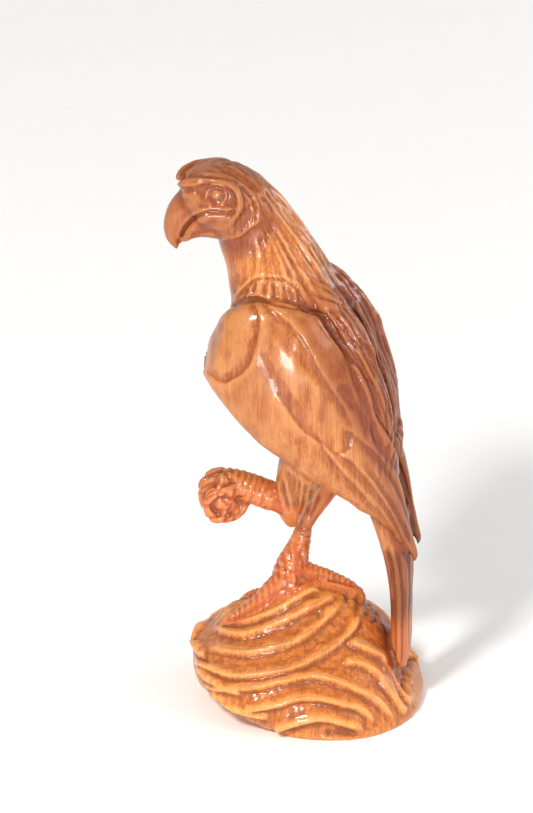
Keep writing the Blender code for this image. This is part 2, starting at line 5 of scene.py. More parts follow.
import bmesh
import bpy
import numpy as np
from bpy.props import FloatProperty, FloatVectorProperty, IntProperty, PointerProperty
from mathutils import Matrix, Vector


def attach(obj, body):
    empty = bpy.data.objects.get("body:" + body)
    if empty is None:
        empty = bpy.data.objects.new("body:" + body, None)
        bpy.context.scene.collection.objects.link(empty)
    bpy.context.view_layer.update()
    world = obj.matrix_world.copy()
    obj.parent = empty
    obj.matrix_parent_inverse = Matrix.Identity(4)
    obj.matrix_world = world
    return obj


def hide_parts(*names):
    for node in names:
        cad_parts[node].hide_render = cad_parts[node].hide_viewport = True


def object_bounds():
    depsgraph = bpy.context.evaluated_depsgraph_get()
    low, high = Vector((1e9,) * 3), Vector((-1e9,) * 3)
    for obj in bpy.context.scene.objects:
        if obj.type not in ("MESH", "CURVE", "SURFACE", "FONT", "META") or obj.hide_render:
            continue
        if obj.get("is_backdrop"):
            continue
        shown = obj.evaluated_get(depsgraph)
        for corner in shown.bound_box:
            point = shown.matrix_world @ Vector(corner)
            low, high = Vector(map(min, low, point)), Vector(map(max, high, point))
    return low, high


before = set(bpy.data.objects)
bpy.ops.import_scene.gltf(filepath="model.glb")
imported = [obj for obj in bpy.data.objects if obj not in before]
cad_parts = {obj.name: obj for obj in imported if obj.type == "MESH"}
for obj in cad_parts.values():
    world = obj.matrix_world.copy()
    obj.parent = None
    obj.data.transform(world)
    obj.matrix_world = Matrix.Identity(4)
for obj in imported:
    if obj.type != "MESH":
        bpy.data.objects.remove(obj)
CAD_LOW, CAD_HIGH = ([float(v) for v in corner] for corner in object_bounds())

bl_info = {
    "name": "Carved Wooden Eagle",
    "version": (1, 0, 0),
    "blender": (4, 5, 0),
    "location": "3D View > Sidebar > Carving",
    "description": "Carves an eagle on its rock from one glued block and varnishes it",
    "category": "Object",
}

# One millimetre, in metres
MM = 0.001

# Sizes of the bird and its rock, in metres, as in the solid
BIRD_HEIGHT = 269 * MM
BIRD_WIDTH = 106 * MM
ROCK_LENGTH = 141 * MM
ROCK_WIDTH = 130 * MM
ROCK_HEIGHT = 75 * MM
LEG_DIAMETER = 17 * MM
TAIL_WIDTH = 40 * MM

# The head looks a little to its left, and the right wing is folded a little further back
HEAD_TURN = math.radians(-12)
RIGHT_WRIST_BACK = 7.0

# What the drawing measures, in its own millimetres
DRAWN_BIRD_HEIGHT = 269.0
DRAWN_BIRD_WIDTH = 106.0
DRAWN_ROCK = (141.0, 130.0, 75.0)
DRAWN_LEG = 17.0
DRAWN_TAIL_WIDTH = 40.0
HEAD_PIVOT = -38.0
NECK_TURNS = (296.0, 334.0)

# The side view that the carved lines are drawn on: squares in millimetres and where (0, 0) lies,
# seen from a little behind and from above
SQUARE_X = 0.591
SQUARE_Z = 0.652
VIEW_ZERO = (312.0, 694.0)
VIEW_TURN = math.radians(6)
VIEW_RISE = math.radians(25)

# Points round each ring of a form, steps between two drawn rows, and the rock's squareness
RING_POINTS = 64
STEPS = 8
ROCK_SQUARENESS = 2.25

# Rock: height, left end, right end and half width of each level, from under the ground up
ROCK_LEVELS = (
    (-8, -36, 62, 62),
    (0, -46, 68.5, 65),
    (6, -61, 68.5, 65),
    (14, -70, 64.5, 64.5),
    (24, -72.5, 56.5, 62.5),
    (34, -70.5, 51.5, 54),
    (44, -56, 47, 41),
    (53, -38.5, 42, 28.5),
    (62, -26.5, 34.5, 19),
    (69, -19, 25, 12.5),
    (73.5, -13, 13, 8),
    (75, -6, 6, 4),
)

# Trunk: throat x and z, back x and z, half width, and how square the section is
TRUNK = (
    (-77.5, 326, -74, 339, 9, 2.2),
    (-76, 320, -62, 343.5, 14.5, 2.8),
    (-70.5, 314, -48.5, 344, 18, 3.0),
    (-62, 304.5, -35.5, 338.5, 19.5, 2.6),
    (-56.5, 298.5, -23, 328.5, 19, 2.3),
    (-54, 290, -12.5, 316.5, 18, 2.1),
    (-51, 280, -0.5, 302, 20.5, 2.0),
    (-49, 267, 8, 285.5, 26, 2.0),
    (-48, 254, 16, 270, 32, 2.1),
    (-52, 240, 23.5, 254, 36, 2.2),
    (-55, 224, 30, 235, 38, 2.3),
    (-52, 206, 34.5, 210, 38, 2.3),
    (-41, 187, 39.5, 185, 36, 2.2),
    (-24, 170, 44.5, 160, 31, 2.1),
    (-3, 153, 51, 138, 26, 2.1),
    (19, 136, 56.5, 120, 21, 2.1),
)

# Tail: front x and z, back x and z, half width, from inside the rump down into the rock
TAIL = (
    (29, 136, 58, 121, 19, 2.4),
    (38, 115, 59.5, 101, 20, 2.6),
    (44.5, 95, 60, 86, 20, 2.8),
    (48, 76, 59.5, 70, 19.5, 3.0),
    (49, 58, 59.5, 55, 19, 3.0),
    (49, 38, 59, 36, 18.5, 3.0),
    (48.5, 18, 57, 17, 17, 3.0),
)

# Left wing, from the wrist to the tip: lower edge x, y, z, upper edge x, y, z, and the bulge
WING = (
    (-61.5, -21, 221, -60.5, -20, 229, 3),
    (-61.5, -27, 219, -57, -22, 242, 7),
    (-54.5, -34, 212, -46.5, -28, 261.5, 11),
    (-41.5, -39, 197.5, -26, -32, 269.5, 13),
    (-27, -41, 183, -2, -33, 267, 14),
    (-12, -40, 171.5, 12, -32, 256, 14),
    (2, -38, 160, 24.5, -30, 235, 13),
    (18.5, -34, 148, 34.5, -27, 213, 12),
    (34, -28, 135, 41, -24, 188, 10),
    (43.5, -23, 125.5, 48, -20, 169, 8),
    (51, -18, 114.5, 56.5, -16, 141, 6),
    (59, -14, 101.5, 62, -12.5, 117, 3.5),
    (63, -12, 96, 64.5, -12, 101, 1.5),
)

# Left half of the feather cape on the back: middle x, y, z, half depth and half width
CAPE = (
    (-11, -9, 288, 4, 6),
    (2, -13, 273, 8, 11),
    (16, -16, 257, 11, 14),
    (27.5, -17, 236, 12, 16),
    (35.5, -17, 213, 12.5, 16),
    (40.5, -16, 190, 12, 15),
    (44.5, -15, 171, 9.5, 12),
    (48, -14, 160, 5, 8),
    (52, -13, 153, 1.5, 3),
)
CAPE_LEAN = math.radians(20)

# Beak and lower jaw: upper x and z, lower x and z, half width and squareness of each section
BEAK = (
    (-68, 336, -56, 313, 13, 2.2),
    (-78, 327, -63, 314, 11, 2.2),
    (-84, 319.5, -69, 311, 9.5, 2.1),
    (-87, 311, -73, 306, 8, 2.0),
    (-87.5, 304, -76, 300.5, 6, 2.0),
    (-85.5, 297, -78, 295.5, 4.2, 2.0),
    (-81.5, 292, -79, 291, 2, 2.0),
)
JAW = (
    (-52, 319, -54, 297, 14, 2.2),
    (-60, 317.5, -60, 299, 13.2, 2.4),
    (-66, 316.5, -66, 299.5, 11.2, 2.4),
    (-71, 313, -71, 298, 8.8, 2.2),
    (-75, 307, -75, 297, 6.0, 2.0),
    (-77.5, 301, -77.5, 297.5, 2.2, 2.0),
)

# Limbs: x, y, z and radius along each
BROW = (
    (-78.5, -4, 333.5, 1.8),
    (-76, -8, 336, 2.4),
    (-69, -12.5, 338.5, 2.6),
    (-61, -15.5, 339.5, 2.4),
    (-53.5, -17.5, 338.5, 2.3),
    (-47.5, -18.5, 335, 2.2),
    (-44.5, -19, 329.5, 2.2),
    (-44.5, -19, 323, 2.2),
    (-46, -18, 316.5, 1.9),
    (-50, -16.5, 312, 1.2),
)
STANDING_LEG = (
    (12, 10, 162, 17),
    (10, 9, 144, 13),
    (5, 8, 128, 8.0),
    (-1, 7, 115, 5.0),
    (-5.5, 6, 105, 4.6),
    (-7.5, 6, 97, 5.8),
    (-10, 5, 88, 7.8),
    (-12, 3, 81, 9.5),
    (-13, 2, 73, 11),
)
RAISED_THIGH = (
    (0, -18, 172, 16),
    (-3, -18, 158, 15.5),
    (-6.5, -18, 146, 13.5),
    (-9, -17, 135, 10.5),
    (-10.5, -15, 126, 7.5),
    (-10, -12, 118, 4.5),
)
RAISED_SHIN = (
    (-11, -16, 132, 8.4),
    (-22, -16.5, 137, 8.3),
    (-34, -17, 141.5, 8.3),
    (-44, -17, 144.5, 8.2),
    (-51, -17, 145, 7.8),
)
FIST_TOES = (
    ((-46, -9, 144.5, 5), (-53, -8, 146, 4.6), (-59.5, -8, 143, 4.4), (-63, -8, 137, 4.2),
     (-62, -9, 130, 4.0), (-56.5, -10, 127, 3.2), (-51, -11, 129.5, 1.6)),
    ((-45, -17, 145, 5), (-52, -18, 146.5, 4.6), (-58, -18, 143.5, 4.4), (-61.5, -18, 137.5, 4.2),
     (-60.5, -18, 130.5, 4.0), (-55.5, -19, 126.5, 3.4), (-50, -19.5, 129, 1.8)),
    ((-45, -24, 142.5, 4.6), (-51, -26, 143.5, 4.4), (-56.5, -26, 140, 4.2), (-59.5, -26, 134, 4.0),
     (-57.5, -26.5, 128, 3.8), (-52, -27, 126, 3.2), (-47.5, -26.5, 130.5, 1.8)),
    ((-41, -17, 140, 5.8), (-40, -18, 133.5, 5.4), (-42.5, -19, 128, 5.0), (-47.5, -20, 124.5, 4.4),
     (-52.5, -21, 124.5, 3.4), (-56, -21, 128, 1.6)),
)
PALM = (-50, -18.5, 136, 10)

# Toes of the standing foot: x, y and radius along each, laid on the rock's own surface
TOES = (
    ((-10, 0, 9), (-22, -3, 7), (-32, -5, 5.6), (-41, -6, 4.4), (-49, -7, 3.2), (-54, -7.5, 1.2)),
    ((-10, 4, 8), (-19, 13, 5.8), (-28, 21, 4.8), (-37, 28, 4.2), (-44, 33, 3.2), (-48, 36, 1.2)),
    ((-7, 6, 8), (-11, 18, 5.8), (-15, 29, 4.8), (-19, 38, 4.2), (-22, 45, 3.2), (-24, 49, 1.2)),
    ((-6, 3, 8), (4, 3, 5.2), (12, 3, 4.2), (19, 3, 3.6), (25, 3, 2.8), (29, 3, 1.2)),
)

# Carved lines on the squared side view, each a row of places, and how far a ridge slopes away
ROCK_RIDGES = (
    ((225, 615), (236, 620.5), (255, 618), (279.5, 608), (304, 593), (323, 585)),
    ((208, 626), (238, 633), (263, 628), (288, 618), (313, 606), (339, 591.5)),
    ((201.5, 646), (238, 651), (260, 649.5), (296, 639.5), (321, 623), (346, 598)),
    ((188, 660), (205, 666), (230, 674), (255, 674), (288, 668), (313, 658), (337.5, 643), (356, 626),
     (362, 610)),
    ((196, 684), (218, 689), (255, 686), (279.5, 681), (303, 676), (321, 676), (346, 683), (379, 701),
     (399, 724)),
    ((232, 712), (255, 709), (279.5, 704), (299, 697.5), (321, 697.5), (346, 704), (362, 709), (379, 724)),
    ((272, 733), (284.5, 727.5), (304, 721), (324, 719), (346, 724), (367, 729)),
    ((346, 638), (371, 649.5), (387, 659.5), (400.5, 683), (415.5, 709)),
    ((342.5, 659.5), (362, 663), (379, 673), (395.5, 696), (409, 716)),
    ((190, 640), (196, 652), (204, 655)),
)
RIDGE_REACH = 6.5
# Edges of the wing's large feathers, the cape's edge and the deep cut beside it
WING_STEPS = (
    ((257, 309), (259, 322), (257, 340), (251.5, 357.5), (244, 369), (235, 375), (223.5, 381), (209, 372)),
    ((271, 308), (300, 335.5), (321, 374), (345, 410), (351, 431), (349, 444.5), (338, 452), (321, 440.5),
     (300, 424), (283, 400)),
    ((351, 431), (362, 440.5), (379, 455.5), (397, 481.5), (412, 521.5), (421, 555.5)),
    ((338, 452), (349, 459), (361, 471), (376, 489), (393.5, 516), (405, 540), (413, 556)),
    ((321, 440.5), (330, 456), (345, 474), (362, 492), (379, 514), (393, 534)),
)
CAPE_EDGE = ((303, 309), (323.5, 316), (341, 343), (362, 372), (372, 394), (376, 414), (394, 440), (407, 467))
CAPE_CLEFT = ((347.5, 283), (355, 294.5), (364, 311), (374.5, 331.5), (383.5, 356), (393.5, 381), (400, 407),
              (403, 450), (407, 468))
# Edges of the collar's feathers and of the feathered cheek
RUFF_EDGES = (
    ((238, 296), (245, 287), (255, 279), (267, 278), (283, 279), (295, 286), (300, 297)),
    ((235, 303), (245, 297), (259, 297), (269, 301), (279, 304), (291, 306), (303, 308), (315, 311),
     (325, 316)),
)
CHEEK_EDGE = ((221, 172), (235, 177), (247, 185), (256, 196), (260, 208), (261, 222), (251, 230), (241, 238),
              (228, 240))
EYE_PLACE = (217, 196)
# Radius of the eye and of its socket, in millimetres
EYE_RADIUS = 3.8
SOCKET_RADIUS = 13.0
MOUTH = ((183, 234), (187, 226), (195, 218), (205, 214), (217, 213), (229, 214), (235, 212))

# The neck's flow from throat to nape: matching places from the head down to the shoulders
MANE_FLOW = (
    ((224, 246), (229, 262), (232, 280), (234, 302)),
    ((240, 242), (242, 262), (240, 284), (237, 302)),
    ((254, 234), (256, 258), (254, 282), (250, 298)),
    ((261, 226), (268, 254), (272, 280), (275, 302)),
    ((262, 212), (276, 244), (290, 274), (302, 307)),
    ((260, 198), (284, 234), (307, 270), (332, 318)),
    ((264, 190), (298, 230), (329, 270), (355, 318)),
    ((268, 186), (303, 226), (334, 268), (372, 314)),
    ((257, 173), (299, 217), (331, 262), (374, 306)),
)
# Crown, from the brow back over the head
CROWN_FLOW = (
    ((190, 166), (205, 168), (222, 171), (240, 180), (256, 194)),
    ((196, 162), (212, 163), (230, 167), (248, 178), (264, 194)),
    ((205, 158.5), (222, 158.5), (240, 163), (256, 176), (274, 194)),
)
# Cape, from the wing's upper edge to the cleft
CAPE_FLOW = (
    ((318, 312), (341, 343), (362, 372), (373, 396), (378, 416), (394, 440), (407, 467)),
    ((326, 306), (348, 336), (368, 366), (380, 394), (388, 416), (398, 442), (407, 466)),
    ((335, 296), (356, 325), (374, 354), (388, 390), (396, 416), (402, 442), (407, 465)),
    ((346, 285), (364, 313), (380, 343), (394, 382), (401, 410), (404, 442), (407, 464)),
)
# Short cuts at the beak's root, under the brow, below the mouth and behind the eye
FACE_CUTS = (
    ((181, 192.5), (191, 195), (202, 201), (211, 205.5)),
    ((186, 190.5), (197, 192), (206, 197.5)),
    ((186, 185), (197, 182), (209, 182), (219, 184)),
    ((190, 236), (202, 232), (214, 231), (224, 233)),
    ((222, 200), (230, 205), (232, 213), (226, 220)),
)
# Lids, from the front corner over the eye and round behind it
LID = ((207, 203), (208, 194), (213, 188.5), (220, 188), (225.5, 192), (227, 199), (223, 204.5), (215, 205.5))
# Strokes down the cheek's feathers
CHEEK_STROKES = (
    ((238, 214), (237.5, 226), (236.5, 237)),
    ((242, 210), (242, 224), (241, 237)),
    ((246.5, 205), (247, 219), (246, 233)),
    ((250.5, 202), (251.5, 214), (251, 228)),
    ((254.5, 200), (256.5, 211), (256, 224)),
    ((249, 190), (254, 201), (258.5, 214)),
    ((240, 186), (247, 192), (252, 200)),
)
# Strokes down the collar's small feathers
RUFF_STROKES = (
    ((272.5, 281), (273, 299)),
    ((277.5, 281), (278.5, 301)),
    ((282.5, 283), (284, 303)),
    ((287.5, 285), (289.5, 305)),
    ((292, 288), (295, 307)),
    ((296.5, 292), (300.5, 308)),
    ((264, 280), (263, 296)),
    ((256, 280), (252, 295)),
    ((248, 287), (243, 298)),
)
# Soft folds across the wing's large feathers
WING_FOLDS = (
    ((258, 345), (270, 370), (290, 400), (310, 420)),
    ((266, 318), (280, 332), (296, 352), (316, 374), (330, 392)),
    ((297, 434), (301, 449), (297, 460), (300, 469)),
    ((336, 378), (350, 396), (362, 418), (372, 436)),
    ((225, 318), (217, 333), (214, 352)),
    ((342, 500), (356, 512)),
)
# Cuts between the long feathers towards the wing's tip
PRIMARY_CUTS = (
    ((361, 457.5), (376, 478), (393.5, 505), (405, 528), (414, 548)),
    ((384, 462), (399, 488), (411, 518), (419, 545)),
    ((372, 500), (386, 520), (400, 541)),
)
# Cuts in the rock where the tail comes down to it
TAIL_FOOT_CUTS = (
    ((392, 653), (400, 672), (412, 697)),
    ((400, 654), (406, 682), (413, 698)),
    ((404.5, 654), (410, 690)),
    ((409, 656), (412.5, 684)),
    ((385, 652), (397, 676), (410, 704)),
)
# Strokes down the raised thigh
THIGH_STROKES = (
    ((286, 462), (291, 490), (295, 516)),
    ((292, 470), (295, 492), (297, 518)),
    ((299, 474), (299, 496), (298.5, 520)),
    ((306, 480), (304, 500), (300.5, 520)),
    ((313, 486), (309, 504), (304, 521)),
    ((321, 491), (314, 508), (307, 524)),
    ((280, 474), (285, 496), (291, 514)),
)
# The closed foot's middle and reach, in drawn millimetres
FIST_MIDDLE = (-54, -17, 137)
FIST_REACH = 17.0
# Heights and how far back the cape's middle and the tail's middle lie there
BACK_LINE = ((153, 171, 190, 213, 236, 257, 274, 289), (48, 44, 40, 35, 27, 16, 3, -10))
TAIL_BENDS = ((18, 38, 76, 95, 112, 131), (53, 54, 54, 52.5, 49, 44))
TAIL_FOOT = 50
# How the flats are stretched on the body, and how high the rock is left under the toes
BODY_FACET_STRETCH = (1.25, 1.1, 0.5)
FOOT_BED = 1.2 * MM
# How far the skin stays inside the solid's box, and how far it may go under the ground before it is cut
INSET = 0.01 * MM
UNDERGROUND = 10 * MM

# The stage in metres: where the camera and lights aim, and each light's name, setting, place, size, colour
AIM = (-0.0269, 0.0, 0.1875)
LIGHTS = (("key_light", "key_power", (-0.9, -1.9, 2.1), 0.42, (1.0, 0.97, 0.93)),
          ("window_light", "window_power", (0.06, -1.3, 0.14), 0.3, (1.0, 0.99, 0.97)),
          ("fill_light", "fill_power", (2.0, -0.9, 1.1), 1.2, (0.95, 0.97, 1.0)),
          ("back_light", "fill_power", (1.9, 1.3, 0.8), 0.8, (1.0, 1.0, 1.0)))
FLOOR_REACH = 6.0
ROOM_COLOUR = (1.0, 0.99, 0.97)
ROOM_LIGHT = 0.58

# Where a kind of carving sets in or dies out, each from and to, in drawn millimetres of height
FOOT_SETS_IN = (40, 50)
FOOT_DIES_OUT = (92, 98)
TAIL_DIES_OUT = (100, 112)
WING_SETS_IN = (88, 94)
LEG_STAIN_DIES_OUT = (138, 160)
THIGH_DIES_OUT = (158, 162)
CLEFT_SETS_IN = (148, 165)
CAPE_SETS_IN = (150, 165)
WING_DIES_OUT = (276, 282)
FLATS_DIE_OUT = (275, 285)
CLEFT_DIES_OUT = (285, 300)
CAPE_DIES_OUT = (288, 302)
MANE_DIES_OUT = (350, 355)
# The same from front to back, from the middle outwards, and square to the neck for the head
BACK_SETS_IN = (-30, -15)
TAIL_BEHIND = (36, 40)
HEAD_DIES_OUT = (-22, -16)
MIDDLE_STRIP = (5, 10)
HEAD_SETS_IN = (285, 300)
# The same in squares of the side view, and how many squares beside its line a cut reaches at most
WING_FRONT = (205, 216)
JAW_DIES_OUT = (203, 215)
CUT_REACH = 8.0
# Added to the distance from the toes low on the rock, so that nothing there counts as foot
FAR_BELOW_FOOT = 20

# How many grooves, strokes, flutes and waves there are, and where the random strokes start
CARVING_SEED = 11
RIPPLE_WAVES = 7
MANE_FROM = 0.34
MANE_GROOVES = 18
MANE_STROKES = 40
THROAT_STROKES = 12
CAPE_STROKES = 60
CROWN_STROKES = 18
TAIL_FLUTES = 10

# The raised rim that runs from the brow round the back of the eye
RIM = ((182, 183), (190, 176.5), (203, 175), (215, 177.5), (226, 181), (234.5, 187), (239.5, 197),
       (240.5, 208), (236, 218), (229, 225), (220, 229))
# The edge of the skin at the beak's root
CERE = ((180.5, 194), (191, 195.5), (202, 201), (211, 206))
# Ridges of the rock that only the finished skin has
EXTRA_RIDGES = (
    ((231, 611.5), (254, 602), (276, 592), (297, 583), (312, 579)),
    ((193, 668), (205, 680), (222, 688), (243, 693)),
    ((204, 692), (222, 705), (245, 713), (270, 718)),
)
# Short gouge cuts on the left end of the rock and beside the tail
ROCK_CUTS = (
    ((193, 667), (205, 681), (222, 689)),
    ((199, 688), (214, 700), (236, 709)),
    ((207, 699), (226, 712), (250, 722)),
    ((193, 646), (200, 657), (212, 664)),
    ((345, 583), (350, 592), (347, 603)),
    ((357, 589), (362, 600), (357, 612)),
    ((367, 597), (372, 607), (369, 618)),
    ((377, 604), (381, 614), (379, 624)),
    ((254, 738), (280, 735), (306, 729)),
    ((318, 733), (342, 733), (368, 736)),
)


def spline(rows, steps=STEPS):
    """Rows of numbers on a Catmull-Rom curve through the given ones."""
    rows = np.array(rows, float)
    rows = np.vstack([2 * rows[0] - rows[1], rows, 2 * rows[-1] - rows[-2]])
    t = np.linspace(0, 1, steps, endpoint=False)[:, None]
    spans = [
        0.5 * (2 * b + (c - a) * t + (2 * a - 5 * b + 4 * c - d) * t**2 + (3 * b - a - 3 * c + d) * t**3)
        for a, b, c, d in zip(rows[:-3], rows[1:-2], rows[2:-1], rows[3:])
    ]
    return np.vstack([*spans, rows[-2:-1]])


def ease(values, low, high):
    """0 below low, 1 above high, and a smooth rise between them."""
    t = np.clip((values - low) / (high - low), 0, 1)
    return t * t * (3 - 2 * t)


def turn_head(points, way):
    """Drawn points with the head turned on the neck, or turned back with way -1."""
    x, y, z = np.moveaxis(points, -1, 0)
    angle = way * HEAD_TURN * ease(z - x / 2, *NECK_TURNS)
    return np.stack([HEAD_PIVOT + (x - HEAD_PIVOT) * np.cos(angle) + y * np.sin(angle),
                     y * np.cos(angle) - (x - HEAD_PIVOT) * np.sin(angle), z], axis=-1)


def to_real(points):
    """Points of the drawing, in millimetres, as real places in metres, with the bird on its rock."""
    points = np.array(points, float)
    tall = BIRD_HEIGHT / DRAWN_BIRD_HEIGHT
    wide = BIRD_WIDTH / DRAWN_BIRD_WIDTH
    perch = DRAWN_ROCK[2]
    points = turn_head(points, 1)
    x, y, z = np.moveaxis(points, -1, 0)
    return np.stack([x * tall, y * wide, ROCK_HEIGHT + (z - perch) * tall], axis=-1)


def to_drawn(points):
    """Real places as points of the drawing, the inverse of to_real."""
    tall = BIRD_HEIGHT / DRAWN_BIRD_HEIGHT
    wide = BIRD_WIDTH / DRAWN_BIRD_WIDTH
    perch = DRAWN_ROCK[2]
    x, y, z = np.moveaxis(points, -1, 0)
    straight = np.stack([x / tall, y / wide, perch + (z - ROCK_HEIGHT) / tall], axis=-1)
    return turn_head(straight, -1)


def rock_to_real(points):
    """Points of the drawn rock, in millimetres, as real places in metres."""
    return np.array(points, float) * np.array([ROCK_LENGTH, ROCK_WIDTH, ROCK_HEIGHT]) / DRAWN_ROCK


def oval(squareness):
    """Across and along shares of a ring that goes from round, at 2, towards square."""
    turn = np.linspace(0, 2 * math.pi, RING_POINTS, endpoint=False)
    power = 2 / squareness
    return (np.sign(np.cos(turn)) * np.abs(np.cos(turn)) ** power,
            np.sign(np.sin(turn)) * np.abs(np.sin(turn)) ** power)


def skin(name, rings):
    """A closed loft through rings of real points."""
    mesh = bpy.data.meshes.new(name)
    bm = bmesh.new()
    loops = [[bm.verts.new(point) for point in ring] for ring in rings]
    for low, high in zip(loops, loops[1:]):
        for i in range(RING_POINTS):
            j = (i + 1) % RING_POINTS
            bm.faces.new((low[i], low[j], high[j], high[i]))
    for end in (loops[0], loops[-1]):
        bm.faces.new(end)
    bmesh.ops.recalc_face_normals(bm, faces=bm.faces)
    bm.to_mesh(mesh)
    bm.free()
    return bpy.data.objects.new(name, mesh)


def mid_plane_rings(rows, width=1.0):
    """Rings round the bird's middle plane, each from a front point to a back point."""
    for x0, z0, x1, z1, half, squareness in spline(rows):
        along, across = oval(squareness)
        x = (x0 + x1) / 2 + along * (x1 - x0) / 2
        z = (z0 + z1) / 2 + along * (z1 - z0) / 2
        yield to_real(np.stack([x, across * half * width, z], axis=-1))


def wing_rings(rows, side):
    """Rings across a folded wing, which bulges outwards from its chord."""
    rows = spline(rows)
    back = RIGHT_WRIST_BACK * (side < 0)
    for row in rows:
        wrist = ease(-row[0], 0, 60) * back
        low, high, bulge = row[:3] + (wrist, 0, 0), row[3:6] + (wrist, 0, 0), row[6]
        along, across = oval(2.4)
        outward = np.cross(high - low, (0.5, 0, -0.8))
        outward *= -np.sign(outward[1]) / np.linalg.norm(outward)
        ring = (low + high) / 2 + np.outer(along, (high - low) / 2)
        ring = ring + np.outer(across * bulge, outward)
        yield to_real(ring * (1, side, 1))


def cape_rings(rows, side):
    """Rings across one half of the cape, leaning with the back."""
    for x, y, z, deep, wide in spline(rows):
        along, across = oval(2.0)
        ring = np.stack([x + along * deep * math.cos(CAPE_LEAN), y + across * wide,
                         z + along * deep * math.sin(CAPE_LEAN)], axis=-1)
        yield to_real(ring * (1, side, 1))


def rock_rings():
    """Level rings of the rock."""
    for z, left, right, half in spline(ROCK_LEVELS, 4):
        along, across = oval(ROCK_SQUARENESS)
        ring = np.stack([(left + right) / 2 + along * (right - left) / 2, across * half,
                         np.full(RING_POINTS, z)], axis=-1)
        yield rock_to_real(ring)


def rock_height(x, y):
    """Height of the real rock's top over a point of the drawing, in metres."""
    levels = spline(ROCK_LEVELS, 10)
    middle = (levels[:, 1] + levels[:, 2]) / 2
    reach = (levels[:, 2] - levels[:, 1]) / 2
    inside = (np.abs(x - middle) / reach) ** ROCK_SQUARENESS + (abs(y) / levels[:, 3]) ** ROCK_SQUARENESS <= 1
    return levels[inside, 0].max() / DRAWN_ROCK[2] * ROCK_HEIGHT


def limb(name, rows, thickness=1.0):
    """A round limb along real points, given as x, y, z and radius in metres."""
    curve = bpy.data.curves.new(name, "CURVE")
    curve.dimensions = "3D"
    curve.bevel_depth = 1.0
    curve.bevel_resolution = 5
    curve.use_fill_caps = True
    path = curve.splines.new("POLY")
    rows = spline(rows)
    path.points.add(len(rows) - 1)
    for point, (x, y, z, radius) in zip(path.points, rows):
        point.co = (x, y, z, 1)
        point.radius = radius * thickness
    return bpy.data.objects.new(name, curve)


def drawn_limb(name, rows, side=1, thickness=1.0):
    """A limb whose points are in the drawing."""
    rows = np.array(rows, float) * (1, side, 1, 1)
    radius = rows[:, 3:] * BIRD_HEIGHT / DRAWN_BIRD_HEIGHT
    return limb(name, np.hstack([to_real(rows[:, :3]), radius]), thickness)


def toe_on_rock(name, rows, thickness):
    """A toe of the standing foot, half sunk in the rock's surface."""
    scale = np.array([ROCK_LENGTH, ROCK_WIDTH]) / DRAWN_ROCK[:2]
    points = [(x * scale[0], y * scale[1], rock_height(x, y) + radius * 0.45 * MM, radius * MM)
              for x, y, radius in rows]
    return limb(name, points, thickness)


def ball(name, x, y, z, radius):
    """A round lump of the drawing."""
    mesh = bpy.data.meshes.new(name)
    bm = bmesh.new()
    bmesh.ops.create_uvsphere(bm, u_segments=24, v_segments=16,
                              radius=radius * BIRD_HEIGHT / DRAWN_BIRD_HEIGHT)
    bm.to_mesh(mesh)
    bm.free()
    lump = bpy.data.objects.new(name, mesh)
    lump.location = to_real((x, y, z))
    return lump


def side_view(points):
    """Where drawn points fall on the squared side view, the right side folded onto the left."""
    folded = turn_head(points * (1, -1, 1) * np.where(points[..., 1:2] > 0, 1, (1, -1, 1)), 1)
    x, y, z = folded.T
    across = x * math.cos(VIEW_TURN) + y * math.sin(VIEW_TURN)
    away = y * math.cos(VIEW_TURN) - x * math.sin(VIEW_TURN)
    up = z + math.tan(VIEW_RISE) * away
    return np.stack([VIEW_ZERO[0] + across / SQUARE_X, VIEW_ZERO[1] - up / SQUARE_Z], axis=-1)


def from_line(places, line, steps=3):
    """Distance in millimetres from a carved line, positive on its left, and the share of it passed."""
    line = spline(line, steps)
    near = np.full(len(places), np.inf)
    side = np.ones(len(places))
    share = np.zeros(len(places))
    for i, (a, b) in enumerate(zip(line, line[1:])):
        along = b - a
        t = np.clip(((places - a) @ along) / (along @ along), 0, 1)
        gap = places - a - t[:, None] * along
        distance = np.hypot(gap[:, 0], gap[:, 1])
        closer = distance < near
        near[closer] = distance[closer]
        side[closer] = np.sign(along[1] * gap[closer, 0] - along[0] * gap[closer, 1])
        share[closer] = (i + t[closer]) / (len(line) - 1)
    return near * side * SQUARE_X, share


def step_down(distance, height, width):
    """A feather edge: the left of the line stands up and the right is cut down."""
    rise = np.clip(1 - np.abs(distance) / width, 0, 1) ** 1.5
    return height * (rise * (0.5 * np.tanh(distance / 0.9) - 0.05) - 0.22 * np.exp(-((distance / 0.9) ** 2)))


def groove(distance, depth, width):
    """A V cut along a line."""
    return -depth * np.clip(1 - np.abs(distance) / width, 0, 1)


def on_rock(real):
    """1 on the rock's own surface, 0 on the bird."""
    levels = spline(ROCK_LEVELS, 4)
    level = real[:, 2] / ROCK_HEIGHT * DRAWN_ROCK[2]
    left, right, half = (np.interp(level, levels[:, 0], levels[:, i]) for i in (1, 2, 3))
    x = real[:, 0] / ROCK_LENGTH * DRAWN_ROCK[0]
    y = real[:, 1] / ROCK_WIDTH * DRAWN_ROCK[1]
    reach = (right - left) / 2
    out = (np.abs(x - (left + right) / 2) / reach) ** ROCK_SQUARENESS + (np.abs(y) / half) ** ROCK_SQUARENESS
    beyond = (out ** (1 / ROCK_SQUARENESS) - 1) * np.minimum(reach, half)
    return (1 - ease(beyond, 1.5, 3.5)) * (1 - ease(level, DRAWN_ROCK[2] + 1, DRAWN_ROCK[2] + 3))


